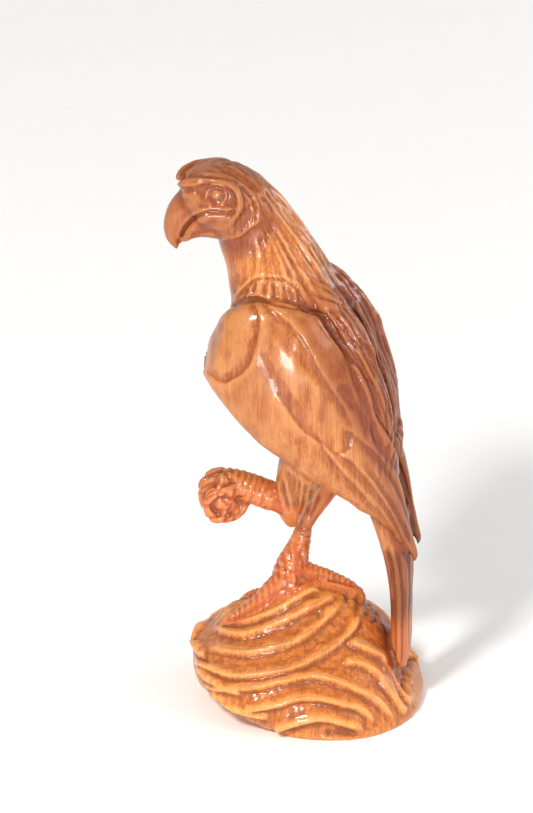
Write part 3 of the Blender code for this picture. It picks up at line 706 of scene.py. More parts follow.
def flow_line(flow, share, start, end, sway):
    """A line that runs along a bundle of flow lines, at one share of its width."""
    flow = spline([np.ravel(row) for row in flow], 6)
    row = flow[min(int(share * (len(flow) - 1)), len(flow) - 1)].reshape(-1, 2)
    row = spline(row, 5)
    first = int(start * (len(row) - 1))
    last = max(int(end * (len(row) - 1)), first + 2)
    row = row[first:last + 1]
    bend = np.sin(np.linspace(0, math.pi, len(row)))[:, None] * (sway, 0)
    return row + bend


def cut_along(places, line, depth, width):
    """Depth of one tapering cut at every place, worked out only for the places near it."""
    line = np.array(line, float)
    result = np.zeros(len(places))
    low, high = line.min(axis=0) - CUT_REACH, line.max(axis=0) + CUT_REACH
    close = ((places > low) & (places < high)).all(axis=1)
    if close.any():
        distance, share = from_line(places[close], line, 2)
        taper = ease(share, 0, 0.25) * (1 - ease(share, 0.7, 1))
        result[close] = groove(distance, depth, width) * taper
    return result


def near_limb(points, rows):
    """Distance from a drawn limb's surface, and how far along it, in millimetres."""
    rows = spline(rows, 3)
    best = np.full(len(points), np.inf)
    along = np.zeros(len(points))
    passed = 0.0
    for a, b in zip(rows, rows[1:]):
        step = b[:3] - a[:3]
        length = np.linalg.norm(step)
        t = np.clip((points - a[:3]) @ step / length**2, 0, 1)
        gap = np.linalg.norm(points - a[:3] - t[:, None] * step, axis=1) - (a[3] + t * (b[3] - a[3]))
        closer = gap < best
        best[closer] = gap[closer]
        along[closer] = passed + t[closer] * length
        passed += length
    return best, along


def near_toes(drawn):
    """Distance from the standing foot's toes seen from above, and how far along them, in millimetres."""
    flat = np.c_[drawn[:, :2], np.zeros(len(drawn))]
    foot = np.full(len(drawn), np.inf)
    stride = np.zeros(len(drawn))
    for toe in TOES:
        gap, passed = near_limb(flat, [(x, y, 0, radius) for x, y, radius in toe])
        stride = np.where(gap < foot, passed, stride)
        foot = np.minimum(foot, gap)
    return foot + FAR_BELOW_FOOT * (1 - ease(drawn[:, 2], *FOOT_SETS_IN)), stride


def facets(points, size, seed):
    """Shallow flats left by the gouge: 0 in their middles, 1 where two of them meet."""
    random = np.random.RandomState(seed)
    low, high = points.min(axis=0), points.max(axis=0)
    counts = np.maximum(((high - low) / size).astype(int), 1) + 2
    jitter = random.rand(*counts, 3) * 0.8 + 0.1
    cell = ((points - low) / size).astype(int) + 1
    first = np.full(len(points), np.inf)
    second = np.full(len(points), np.inf)
    for offset in itertools.product((-1, 0, 1), repeat=3):
        other = np.clip(cell + offset, 0, counts - 1)
        centre = low + (other - 1 + jitter[tuple(other.T)]) * size
        distance = np.linalg.norm((points - centre) / size, axis=1)
        second = np.minimum(second, np.maximum(first, distance))
        first = np.minimum(first, distance)
    return 1 - np.clip((second - first) * 2.2, 0, 1)


def ripple(points, size, seed):
    """A smooth uneven height between -1 and 1 with bumps of about the given size."""
    random = np.random.RandomState(seed)
    total = np.zeros(len(points))
    for _ in range(RIPPLE_WAVES):
        way = random.normal(size=3)
        way /= np.linalg.norm(way)
        length = size * random.uniform(0.7, 1.4)
        total += np.sin(points @ way * (2 * math.pi / length) + random.uniform(0, 6.3))
    return total * 2 / RIPPLE_WAVES


def rope(distance, width):
    """A narrow rounded ridge along a line, 1 on its crest."""
    return np.exp(-((distance / width) ** 2))


def rock_relief(places, drawn, sizes):
    """Wave ridges of the rock: crests with a sharp lower side over wide gouged hollows."""
    raised = np.full(len(places), -0.5)
    uneven = ripple(drawn * (1, 1, 1.6), 24, 5)
    for line in ROCK_RIDGES + EXTRA_RIDGES:
        distance, share = from_line(places, line, 6)
        fade = ease(share, 0, 0.12) * (1 - ease(share, 0.88, 1))
        width = np.where(distance > 0, 1.3, 0.6) * (2.4 + 0.7 * uneven)
        reach = np.where(distance > 0, RIDGE_REACH * 1.15, RIDGE_REACH * 0.55)
        hump = (1 - np.clip(np.abs(distance) / reach, 0, 1)) ** 1.4
        shape = (0.36 + 0.1 * uneven) * rope(distance, width) + 0.6 * hump - 0.5
        shape -= 0.3 * rope(distance + 3.4, 1.0)
        raised = np.maximum(raised, shape * fade - 0.5 * (1 - fade))
    raised *= sizes.ridge_height
    for line in ROCK_CUTS:
        raised += cut_along(places, line, sizes.stroke_depth * 2.0, 3.4)
    for line in TAIL_FOOT_CUTS:
        raised += cut_along(places, line, sizes.stroke_depth * 3.0, 2.6)
    furrow = ease(-raised / sizes.ridge_height, 0, 0.5)
    chatter = 0.5 * ripple(drawn, 6, 9) + 0.8 * furrow * ripple(drawn * (1, 1, 0.3), 3.4, 12)
    return raised + sizes.chatter_depth * chatter


def toe_wrinkles(foot, stride, z, sizes):
    """Rings across the toes of the standing foot."""
    wrinkle = np.abs(np.sin(stride * MM / sizes.ring_spacing * math.pi)) - 0.6
    on_toe = (1 - ease(foot, -1, 1.5)) * (1 - ease(z, *FOOT_DIES_OUT))
    return on_toe * sizes.ring_thickness * 0.5 * wrinkle


def wing_relief(places, z, sizes):
    """Edges of the large feathers, soft folds and the cuts between the long ones."""
    step, fine = sizes.feather_step, sizes.stroke_depth
    raised = np.zeros(len(places))
    for line in WING_STEPS:
        raised += step_down(from_line(places, line)[0], step, 8.0)
    edge = from_line(places, CAPE_EDGE)[0]
    raised += step_down(-edge, step * 1.7, 6.0) + groove(edge, fine * 0.8, 2.0)
    for line in WING_FOLDS:
        raised += cut_along(places, line, fine * 0.6, 5.0)
    for line in PRIMARY_CUTS:
        raised += cut_along(places, line, fine * 1.3, 2.2)
    wing = ease(z, *WING_SETS_IN) * (1 - ease(z, *WING_DIES_OUT)) * ease(places[:, 0], *WING_FRONT)
    return wing * raised


def strokes(places, flow, count, depth, width, long, random, low=0.0, high=1.0):
    """Many knife cuts, each a tapering spindle along a bundle of flow lines."""
    total = np.zeros(len(places))
    for _ in range(count):
        start = random.uniform(0, 1 - long * 0.6)
        share = random.uniform(low, high)
        end = min(start + long * random.uniform(0.7, 1.3), 1)
        line = flow_line(flow, share, start, end, random.uniform(-1.4, 1.4))
        cut = cut_along(places, line, depth * random.uniform(0.6, 1.15), width * random.uniform(0.8, 1.2))
        total = np.minimum(total, cut)
    return total


def back_relief(places, drawn, sizes, random):
    """Narrow feathers of the back, the deep cut beside them and the cleft down the middle."""
    fine = sizes.stroke_depth
    x, y, z = drawn.T
    back = ease(x, *BACK_SETS_IN)
    raised = back * groove(from_line(places, CAPE_CLEFT)[0], fine * 5.0, 3.2)
    spine = np.interp(z, *BACK_LINE)
    cape = ease(x - spine, -7, 0) * ease(z, *CAPE_SETS_IN) * (1 - ease(z, *CAPE_DIES_OUT))
    lane = np.abs(y) / sizes.cape_lane * MM + 0.35 * ripple(drawn * (1, 1, 0.5), 30, 31)
    between = 1 - 2 * np.abs(lane - np.round(lane))
    raised -= cape * fine * 1.5 * between**3 * (0.65 + 0.5 * ripple(drawn, 20, 32))
    middle = ease(x, 0, 12) * ease(z, *CLEFT_SETS_IN) * (1 - ease(z, *CLEFT_DIES_OUT))
    raised -= middle * sizes.cleft_depth * rope(y, 3.4)
    knife = strokes(places, CAPE_FLOW, CAPE_STROKES, fine * 2.3, 2.7, 0.3, random, 0.04, 0.97)
    return raised + back * ease(x, 0, 8) * knife


def ruff_relief(places, sizes):
    """The collar of small feathers at the foot of the neck."""
    fine = sizes.stroke_depth
    raised = np.zeros(len(places))
    for line in RUFF_EDGES:
        distance = from_line(places, line)[0]
        raised += step_down(distance, sizes.feather_step, 4.0) + groove(distance, fine * 0.8, 1.2)
    for line in RUFF_STROKES:
        raised += cut_along(places, line, fine * 1.6, 1.7)
    return raised


def neck_relief(places, z, sizes, random):
    """Long grooves down the neck, with shorter strokes between them."""
    deep = sizes.mane_depth
    mane = np.zeros(len(places))
    for share in np.linspace(MANE_FROM, 1, MANE_GROOVES):
        share = min(share + random.uniform(-0.015, 0.015), 1)
        start, end = random.uniform(0, 0.12), random.uniform(0.85, 1)
        line = flow_line(MANE_FLOW, share, start, end, random.uniform(-1.5, 1.5))
        mane = np.minimum(mane, cut_along(places, line, deep * random.uniform(0.75, 1.1), 2.4))
    fine = strokes(places, MANE_FLOW, MANE_STROKES, deep * 0.75, 1.8, 0.34, random, MANE_FROM, 1.0)
    throat = strokes(places, MANE_FLOW, THROAT_STROKES, deep * 0.4, 2.4, 0.3, random, 0.05, MANE_FROM)
    raised = np.minimum(mane, fine) + 0.25 * (mane + fine) + throat
    return raised * (1 - ease(z, *MANE_DIES_OUT))


def eye_relief(places, sizes):
    """Socket, eye, lids and the rim from brow to cheek."""
    fine = sizes.stroke_depth
    to_eye = np.hypot(*(places - EYE_PLACE).T) * SQUARE_X
    rim, share = from_line(places, RIM)
    rim_end = 1 - ease(share, 0.7, 1)
    raised = -sizes.socket_depth * (1 - np.clip(to_eye / SOCKET_RADIUS, 0, 1) ** 2)
    raised += sizes.rim_height * rope(rim, 1.6) * ease(share, 0, 0.1) * rim_end
    raised += groove(rim - 2.8, fine * 0.6, 1.5) * rim_end
    raised += sizes.eye_rise * np.sqrt(1 - np.clip(to_eye / EYE_RADIUS, 0, 1) ** 2)
    raised += groove(to_eye - EYE_RADIUS, fine * 1.1, 0.9)
    lid, share = from_line(places, LID)
    return raised + 1.1 * fine * rope(lid, 1.0) * ease(share, 0, 0.15) * (1 - ease(share, 0.8, 1))


def head_relief(places, drawn, outer, sizes, random):
    """Eye, mouth, cere, cheek and crown."""
    fine = sizes.stroke_depth
    cheek = from_line(places, CHEEK_EDGE)[0]
    raised = outer * (step_down(-cheek, sizes.feather_step * 0.9, 6.0) + eye_relief(places, sizes))
    mouth = from_line(places, MOUTH)[0]
    raised += groove(mouth, fine * 1.1, 1.1) + 0.9 * fine * rope(mouth - 2.2, 1.2)
    front = 1 - ease(places[:, 0], *JAW_DIES_OUT)
    raised += front * sizes.jaw_rise * ease(-mouth, 0.6, 2) * (1 - ease(-mouth, 3, 7))
    raised += outer * 1.1 * fine * rope(from_line(places, CERE)[0], 1.2)
    for line in FACE_CUTS:
        raised += cut_along(places, line, fine * 0.9, 1.5)
    for line in CHEEK_STROKES:
        raised += outer * cut_along(places, line, fine * 1.5, 1.8)
    raised += strokes(places, CROWN_FLOW, CROWN_STROKES, fine * 1.3, 1.9, 0.4, random)
    head = ease(drawn[:, 2] - drawn[:, 0] / 2, *HEAD_SETS_IN) * (1 - ease(drawn[:, 0], *HEAD_DIES_OUT))
    return head * raised


def thigh_relief(places, z, sizes):
    """Strokes down the raised thigh's feathers."""
    raised = np.zeros(len(places))
    for line in THIGH_STROKES:
        raised += cut_along(places, line, sizes.stroke_depth * 1.6, 2.0)
    return raised * (1 - ease(z, *THIGH_DIES_OUT))


def tail_relief(drawn, tail, sizes):
    """Flutes down the tail, set round it at even turns."""
    x, y, z = drawn.T
    around = np.arctan2((x - np.interp(z, *TAIL_BENDS)) * 2.4, y)
    return tail * sizes.flute_depth / 2 * (np.abs(np.cos(around * TAIL_FLUTES / 2)) * 2 - 1.2)


def tool_marks(drawn, fist, limbs, sizes):
    """Shallow flats on the body, creases of the closed foot and the unevenness of the legs."""
    body_flats = facets(drawn * BODY_FACET_STRETCH, 15.0, 3)
    marks = -(1 - limbs) * sizes.facet_depth * (1 - body_flats) * (1 - ease(drawn[:, 2], *FLATS_DIE_OUT))
    claw = 1 - ease(fist, 0, 3)
    creases = claw * sizes.knuckle_depth * facets(drawn * (0.7, 1.2, 1.0), 9.0, 8) ** 2
    return marks, limbs * sizes.chatter_depth * 0.7 * ripple(drawn, 4.6, 21) - creases


def carving(real, sizes):
    """How far each real place of the skin is raised, in metres, and the masks that the finish reads."""
    drawn = to_drawn(real)
    places = side_view(drawn)
    x, y, z = drawn.T
    rock = on_rock(real)
    bird = 1 - rock
    outer = ease(np.abs(y), *MIDDLE_STRIP)
    tail = bird * ease(x, *TAIL_BEHIND) * (1 - ease(z, *TAIL_DIES_OUT))
    random = np.random.RandomState(CARVING_SEED)
    fist = np.linalg.norm(drawn - FIST_MIDDLE, axis=1) - FIST_REACH
    leg = np.minimum.reduce([near_limb(drawn, STANDING_LEG[3:])[0], near_limb(drawn, RAISED_SHIN)[0], fist])
    limbs = 1 - ease(leg, 1.5, 4)
    foot, stride = near_toes(drawn)

    relief = rock_relief(places, drawn, sizes)
    under_foot = 1 - ease(foot, 0.5, 5)
    raised = rock * (relief + under_foot * (FOOT_BED - relief))
    raised += toe_wrinkles(foot, stride, z, sizes)
    raised += bird * outer * (1 - limbs) * wing_relief(places, z, sizes)
    raised += bird * back_relief(places, drawn, sizes, random)
    raised += bird * outer * ruff_relief(places, sizes)
    raised += bird * neck_relief(places, z, sizes, random)
    raised += bird * head_relief(places, drawn, outer, sizes, random)
    raised += bird * thigh_relief(places, z, sizes)
    raised += tail_relief(drawn, tail, sizes)
    body_marks, leg_marks = tool_marks(drawn, fist, limbs, sizes)
    raised += bird * body_marks + leg_marks

    leg = np.minimum(leg, near_limb(drawn, STANDING_LEG)[0])
    leg_stain = bird * (1 - ease(leg, 1, 5)) * (1 - ease(z, *LEG_STAIN_DIES_OUT))
    foot_stain = (1 - ease(foot, 0, 6)) * ease(z, *FOOT_SETS_IN) * (1 - ease(z, 90, 96))
    tail_stain = 1 - ease(np.hypot(x - TAIL_FOOT, y * 0.5), 10, 24)
    tail_stain *= (1 - ease(z, 50, 66)) * ease(z, 14, 30)
    stain = np.maximum.reduce([leg_stain, foot_stain, tail_stain * 0.8])

    # Mask of darker wood and painted shade: the head, back, tail and lower body are darkened, and shade is
    # painted into the rock's furrows and down the back's cleft
    head = bird * ease(z - x / 2, 306, 320) * (1 - ease(x, -30, -12))
    behind = np.maximum(ease(x + (z - 194) * 0.47, 16, 34), ease(x, 40, 54)) * (1 - 0.8 * ease(z, 264, 286))
    # Painted shade in the hollows between the rock's ridges
    furrow = rock * 0.55 * ease(-relief / sizes.ridge_height, -0.1, 0.45)
    wings = 0.5 * bird * (1 - ease(z, 266, 284))
    # Painted shadow down the cleft between the cape's two halves
    cleft = 2 * bird * ease(x, *BACK_SETS_IN) * rope(from_line(places, CAPE_CLEFT)[0], 1.9)
    aged = np.maximum.reduce([head * 0.9, bird * behind, tail * 1.5, furrow, wings, cleft])
    return raised, rock, stain, aged


def rings_tree():
    """Geometry nodes that set a ring round a limb at even steps along its path."""
    tree = bpy.data.node_groups.new("leg_rings", "GeometryNodeTree")
    face = tree.interface
    face.new_socket("Geometry", in_out="INPUT", socket_type="NodeSocketGeometry")
    spacing = face.new_socket("Spacing", in_out="INPUT", socket_type="NodeSocketFloat")
    thickness = face.new_socket("Thickness", in_out="INPUT", socket_type="NodeSocketFloat")
    spacing.default_value = 3.4 * MM
    thickness.default_value = 1.2 * MM
    face.new_socket("Material", in_out="INPUT", socket_type="NodeSocketMaterial")
    face.new_socket("Geometry", in_out="OUTPUT", socket_type="NodeSocketGeometry")
    nodes, links = tree.nodes, tree.links
    start = nodes.new("NodeGroupInput")
    end = nodes.new("NodeGroupOutput")
    spots = nodes.new("GeometryNodeCurveToPoints")
    spots.mode = "LENGTH"
    circle = nodes.new("GeometryNodeCurvePrimitiveCircle")
    circle.inputs["Resolution"].default_value = 28
    circle.inputs["Radius"].default_value = 1.0
    size = nodes.new("GeometryNodeInputRadius")
    keep = nodes.new("GeometryNodeCaptureAttribute")
    keep.capture_items.new("FLOAT", "Radius")
    place = nodes.new("GeometryNodeInstanceOnPoints")
    loose = nodes.new("GeometryNodeRealizeInstances")
    profile = nodes.new("GeometryNodeCurvePrimitiveCircle")
    profile.inputs["Resolution"].default_value = 10
    sweep = nodes.new("GeometryNodeCurveToMesh")
    even = nodes.new("GeometryNodeSetCurveRadius")
    even.inputs["Radius"].default_value = 1.0
    paint = nodes.new("GeometryNodeSetMaterial")
    wires = ((start, "Geometry", keep, "Geometry"), (size, "Radius", keep, "Radius"),
             (keep, "Geometry", spots, "Curve"), (start, "Spacing", spots, "Length"),
             (spots, "Points", place, "Points"), (spots, "Rotation", place, "Rotation"),
             (circle, "Curve", place, "Instance"), (keep, "Radius", place, "Scale"),
             (place, "Instances", loose, "Geometry"), (loose, "Geometry", even, "Curve"),
             (start, "Thickness", profile, "Radius"), (even, "Curve", sweep, "Curve"),
             (profile, "Curve", sweep, "Profile Curve"), (sweep, "Mesh", paint, "Geometry"),
             (start, "Material", paint, "Material"), (paint, "Geometry", end, "Geometry"))
    for source, given, target, taken in wires:
        links.new(source.outputs[given], target.inputs[taken])
    return tree


def leg_rings(name, rows, sizes, material):
    """The wrinkled rings round one leg, as a plain mesh."""
    rows = np.array(rows, float)
    tall = BIRD_HEIGHT / DRAWN_BIRD_HEIGHT
    rows = spline(np.hstack([to_real(rows[:, :3]), rows[:, 3:] * tall]), 4)
    curve = bpy.data.curves.new(name, "CURVE")
    curve.dimensions = "3D"
    path = curve.splines.new("POLY")
    path.points.add(len(rows) - 1)
    for point, (x, y, z, radius) in zip(path.points, rows):
        point.co = (x, y, z, 1)
        point.radius = radius - sizes.ring_thickness * 0.35
    guide = bpy.data.objects.new(name + "_path", curve)
    bpy.context.scene.collection.objects.link(guide)
    modifier = guide.modifiers.new("rings", "NODES")
    modifier.node_group = bpy.data.node_groups.get("leg_rings") or rings_tree()
    names = {item.name: item.identifier for item in modifier.node_group.interface.items_tree
             if item.in_out == "INPUT"}
    modifier[names["Spacing"]] = sizes.ring_spacing
    modifier[names["Thickness"]] = sizes.ring_thickness
    modifier[names["Material"]] = material
    graph = bpy.context.evaluated_depsgraph_get()
    rings = bpy.data.objects.new(name, bpy.data.meshes.new_from_object(guide.evaluated_get(graph)))
    bpy.data.objects.remove(guide)
    return rings


def forms(sizes, material):
    """The rough shapes that the carving is joined from."""
    leg = LEG_DIAMETER / MM / DRAWN_LEG
    yield skin("rock", list(rock_rings()))
    yield skin("trunk", list(mid_plane_rings(TRUNK)))
    yield skin("tail", list(mid_plane_rings(TAIL, TAIL_WIDTH / MM / DRAWN_TAIL_WIDTH)))
    yield skin("beak", list(mid_plane_rings(BEAK)))
    yield skin("jaw", list(mid_plane_rings(JAW)))
    for side, word in ((1, "left"), (-1, "right")):
        yield skin("wing_" + word, list(wing_rings(WING, side)))
        yield skin("cape_" + word, list(cape_rings(CAPE, side)))
        yield drawn_limb("brow_" + word, BROW, side)
    yield drawn_limb("standing_leg", STANDING_LEG, 1, leg)
    yield drawn_limb("raised_thigh", RAISED_THIGH, 1, leg)
    yield drawn_limb("raised_shin", RAISED_SHIN, 1, leg)
    yield ball("palm", *PALM)
    for i, toe in enumerate(FIST_TOES):
        yield drawn_limb(f"fist_toe_{i}", toe, 1, leg)
    for i, toe in enumerate(TOES):
        yield toe_on_rock(f"toe_{i}", toe, leg)
    yield leg_rings("standing_rings", STANDING_LEG[4:], sizes, material)
    yield leg_rings("shin_rings", RAISED_SHIN[1:], sizes, material)


def one_skin(pieces, sizes):
    """One closed skin over all the rough shapes, softened where they join."""
    bm = bmesh.new()
    pieces = list(pieces)
    for piece in pieces:
        bpy.context.scene.collection.objects.link(piece)
    bpy.context.view_layer.update()
    graph = bpy.context.evaluated_depsgraph_get()
    for piece in pieces:
        mesh = bpy.data.meshes.new_from_object(piece.evaluated_get(graph))
        mesh.transform(piece.matrix_world)
        bm.from_mesh(mesh)
        bpy.data.meshes.remove(mesh)
    bmesh.ops.remove_doubles(bm, verts=bm.verts, dist=1e-6)
    joined = bpy.data.meshes.new("joined")
    bm.to_mesh(joined)
    bm.free()
    for piece in pieces:
        bpy.data.objects.remove(piece)
    block = bpy.data.objects.new("block", joined)
    bpy.context.scene.collection.objects.link(block)
    remesh = block.modifiers.new("one skin", "REMESH")
    remesh.mode = "VOXEL"
    remesh.voxel_size = sizes.skin_voxel
    soften = block.modifiers.new("soften the joints", "SMOOTH")
    soften.factor = 0.5
    soften.iterations = sizes.soften_steps
    graph = bpy.context.evaluated_depsgraph_get()
    mesh = bpy.data.meshes.new_from_object(block.evaluated_get(graph))
    bpy.data.objects.remove(block)
    return mesh


def read_vertices(mesh):
    """Places and normals of a mesh's vertices."""
    places = np.empty(len(mesh.vertices) * 3)
    normals = np.empty(len(mesh.vertices) * 3)
    mesh.vertices.foreach_get("co", places)
    mesh.vertex_normals.foreach_get("vector", normals)
    return places.reshape(-1, 3), normals.reshape(-1, 3)


def hollows(mesh, rounds):
    """How far each vertex lies below the smoothed surface around it, in metres."""
    places, normals = read_vertices(mesh)
    ends = np.empty(len(mesh.edges) * 2, dtype=np.int64)
    mesh.edges.foreach_get("vertices", ends)
    a, b = ends.reshape(-1, 2).T
    count = np.bincount(a, minlength=len(places)) + np.bincount(b, minlength=len(places))
    smooth = places.copy()

    def around(values):
        return np.bincount(a, values[b], len(places)) + np.bincount(b, values[a], len(places))

    for _ in range(rounds):
        total = np.stack([around(smooth[:, i]) for i in range(3)], axis=1)
        smooth = total / np.maximum(count, 1)[:, None]
    depth = ((smooth - places) * normals).sum(axis=1)
    return (depth + around(depth)) / (count + 1)


def cut_flat(mesh):
    """Cuts the rock flat at the ground and closes it."""
    bm = bmesh.new()
    bm.from_mesh(mesh)
    everything = bm.verts[:] + bm.edges[:] + bm.faces[:]
    cut = bmesh.ops.bisect_plane(bm, geom=everything, dist=1e-6, plane_co=(0, 0, 0),
                                 plane_no=(0, 0, -1), clear_outer=True)
    rim = [item for item in cut["geom_cut"] if isinstance(item, bmesh.types.BMEdge)]
    underside = bmesh.ops.edgeloop_fill(bm, edges=rim)["faces"]
    bmesh.ops.triangulate(bm, faces=underside)
    bmesh.ops.recalc_face_normals(bm, faces=bm.faces)
    bm.to_mesh(mesh)
    bm.free()


def thin_out(mesh, most):
    """The mesh with no more triangles than asked."""
    triangles = sum(len(p.vertices) - 2 for p in mesh.polygons)
    if triangles <= most:
        return mesh
    full = bpy.data.objects.new("full_skin", mesh)
    bpy.context.scene.collection.objects.link(full)
    thin = full.modifiers.new("thin out", "DECIMATE")
    thin.ratio = most / triangles
    graph = bpy.context.evaluated_depsgraph_get()
    thinned = bpy.data.meshes.new_from_object(full.evaluated_get(graph))
    bpy.data.objects.remove(full)
    return thinned


def add_value(mesh, name, values):
    """Keeps a number for each vertex under a name that the finish reads."""
    layer = mesh.attributes.new(name, "FLOAT", "POINT")
    layer.data.foreach_set("value", np.asarray(values, dtype=np.float32))


def carve_eagle(sizes, material):
    """The finished figure, as one object."""
    mesh = one_skin(forms(sizes, material), sizes)
    places, normals = read_vertices(mesh)
    raised = carving(places, sizes)[0]
    places = places + normals * raised[:, None]
    places = np.clip(places, np.array(CAD_LOW) + (INSET, INSET, -UNDERGROUND), np.array(CAD_HIGH) - INSET)
    mesh.vertices.foreach_set("co", places.ravel())
    mesh.update()
    mesh = thin_out(mesh, sizes.most_triangles)
    cut_flat(mesh)
    places, _ = read_vertices(mesh)
    _, rock, stain, aged = carving(places, sizes)
    # Depth in the hollows: the finish darkens the cuts and broad hollows with stain and painted shade, and
    # lightens the crests with wear and painted highlight
    fine, broad = hollows(mesh, 4), hollows(mesh, 40)
    add_value(mesh, "hollow", np.clip(fine / (0.3 * MM), -1, 1))
    add_value(mesh, "deep", np.clip(broad / (2.0 * MM), -1, 1))
    add_value(mesh, "rock", rock)
    add_value(mesh, "stain", stain)
    add_value(mesh, "aged", aged)
    mesh.materials.clear()
    mesh.materials.append(material)
    mesh.polygons.foreach_set("use_smooth", [True] * len(mesh.polygons))
    mesh.polygons.foreach_set("material_index", [0] * len(mesh.polygons))
    figure = bpy.data.objects.new("eagle_and_rock", mesh)
    bpy.context.scene.collection.objects.link(figure)
    return figure


class Nodes:
    """A short way to set up a material's nodes."""

    def __init__(self, material):
        material.use_nodes = True
        self.tree = material.node_tree
        self.tree.nodes.clear()

    def add(self, kind, **settings):
        node = self.tree.nodes.new(kind)
        for name, value in settings.items():
            setattr(node, name, value)
        return node

    def join(self, source, target):
        self.tree.links.new(source, target)

    def put(self, socket, value):
        if isinstance(value, bpy.types.NodeSocket):
            self.join(value, socket)
        else:
            socket.default_value = value

    def maths(self, operation, a, b=0.0, clamp=False):
        node = self.add("ShaderNodeMath", operation=operation, use_clamp=clamp)
        self.put(node.inputs[0], a)
        self.put(node.inputs[1], b)
        return node.outputs[0]

    def mix(self, share, a, b, blend="MIX"):
        node = self.add("ShaderNodeMix", data_type="RGBA", blend_type=blend)
        self.put(node.inputs[0], share)
        self.put(node.inputs[6], a)
        self.put(node.inputs[7], b)
        return node.outputs[2]

    def spread(self, value, low, high, new_low=0.0, new_high=1.0):
        node = self.add("ShaderNodeMapRange")
        for socket, number in zip(node.inputs[:5], (value, low, high, new_low, new_high)):
            self.put(socket, number)
        return node.outputs[0]

    def noise(self, place, stretch, scale, detail=3.0, roughness=0.55, distortion=0.0):
        mapping = self.add("ShaderNodeMapping")
        self.join(place, mapping.inputs["Vector"])
        mapping.inputs["Scale"].default_value = stretch
        node = self.add("ShaderNodeTexNoise")
        self.join(mapping.outputs[0], node.inputs["Vector"])
        node.inputs["Scale"].default_value = scale
        node.inputs["Detail"].default_value = detail
        node.inputs["Roughness"].default_value = roughness
        node.inputs["Distortion"].default_value = distortion
        return node.outputs["Fac"]

    def value(self, name):
        return self.add("ShaderNodeAttribute", attribute_name=name).outputs["Fac"]


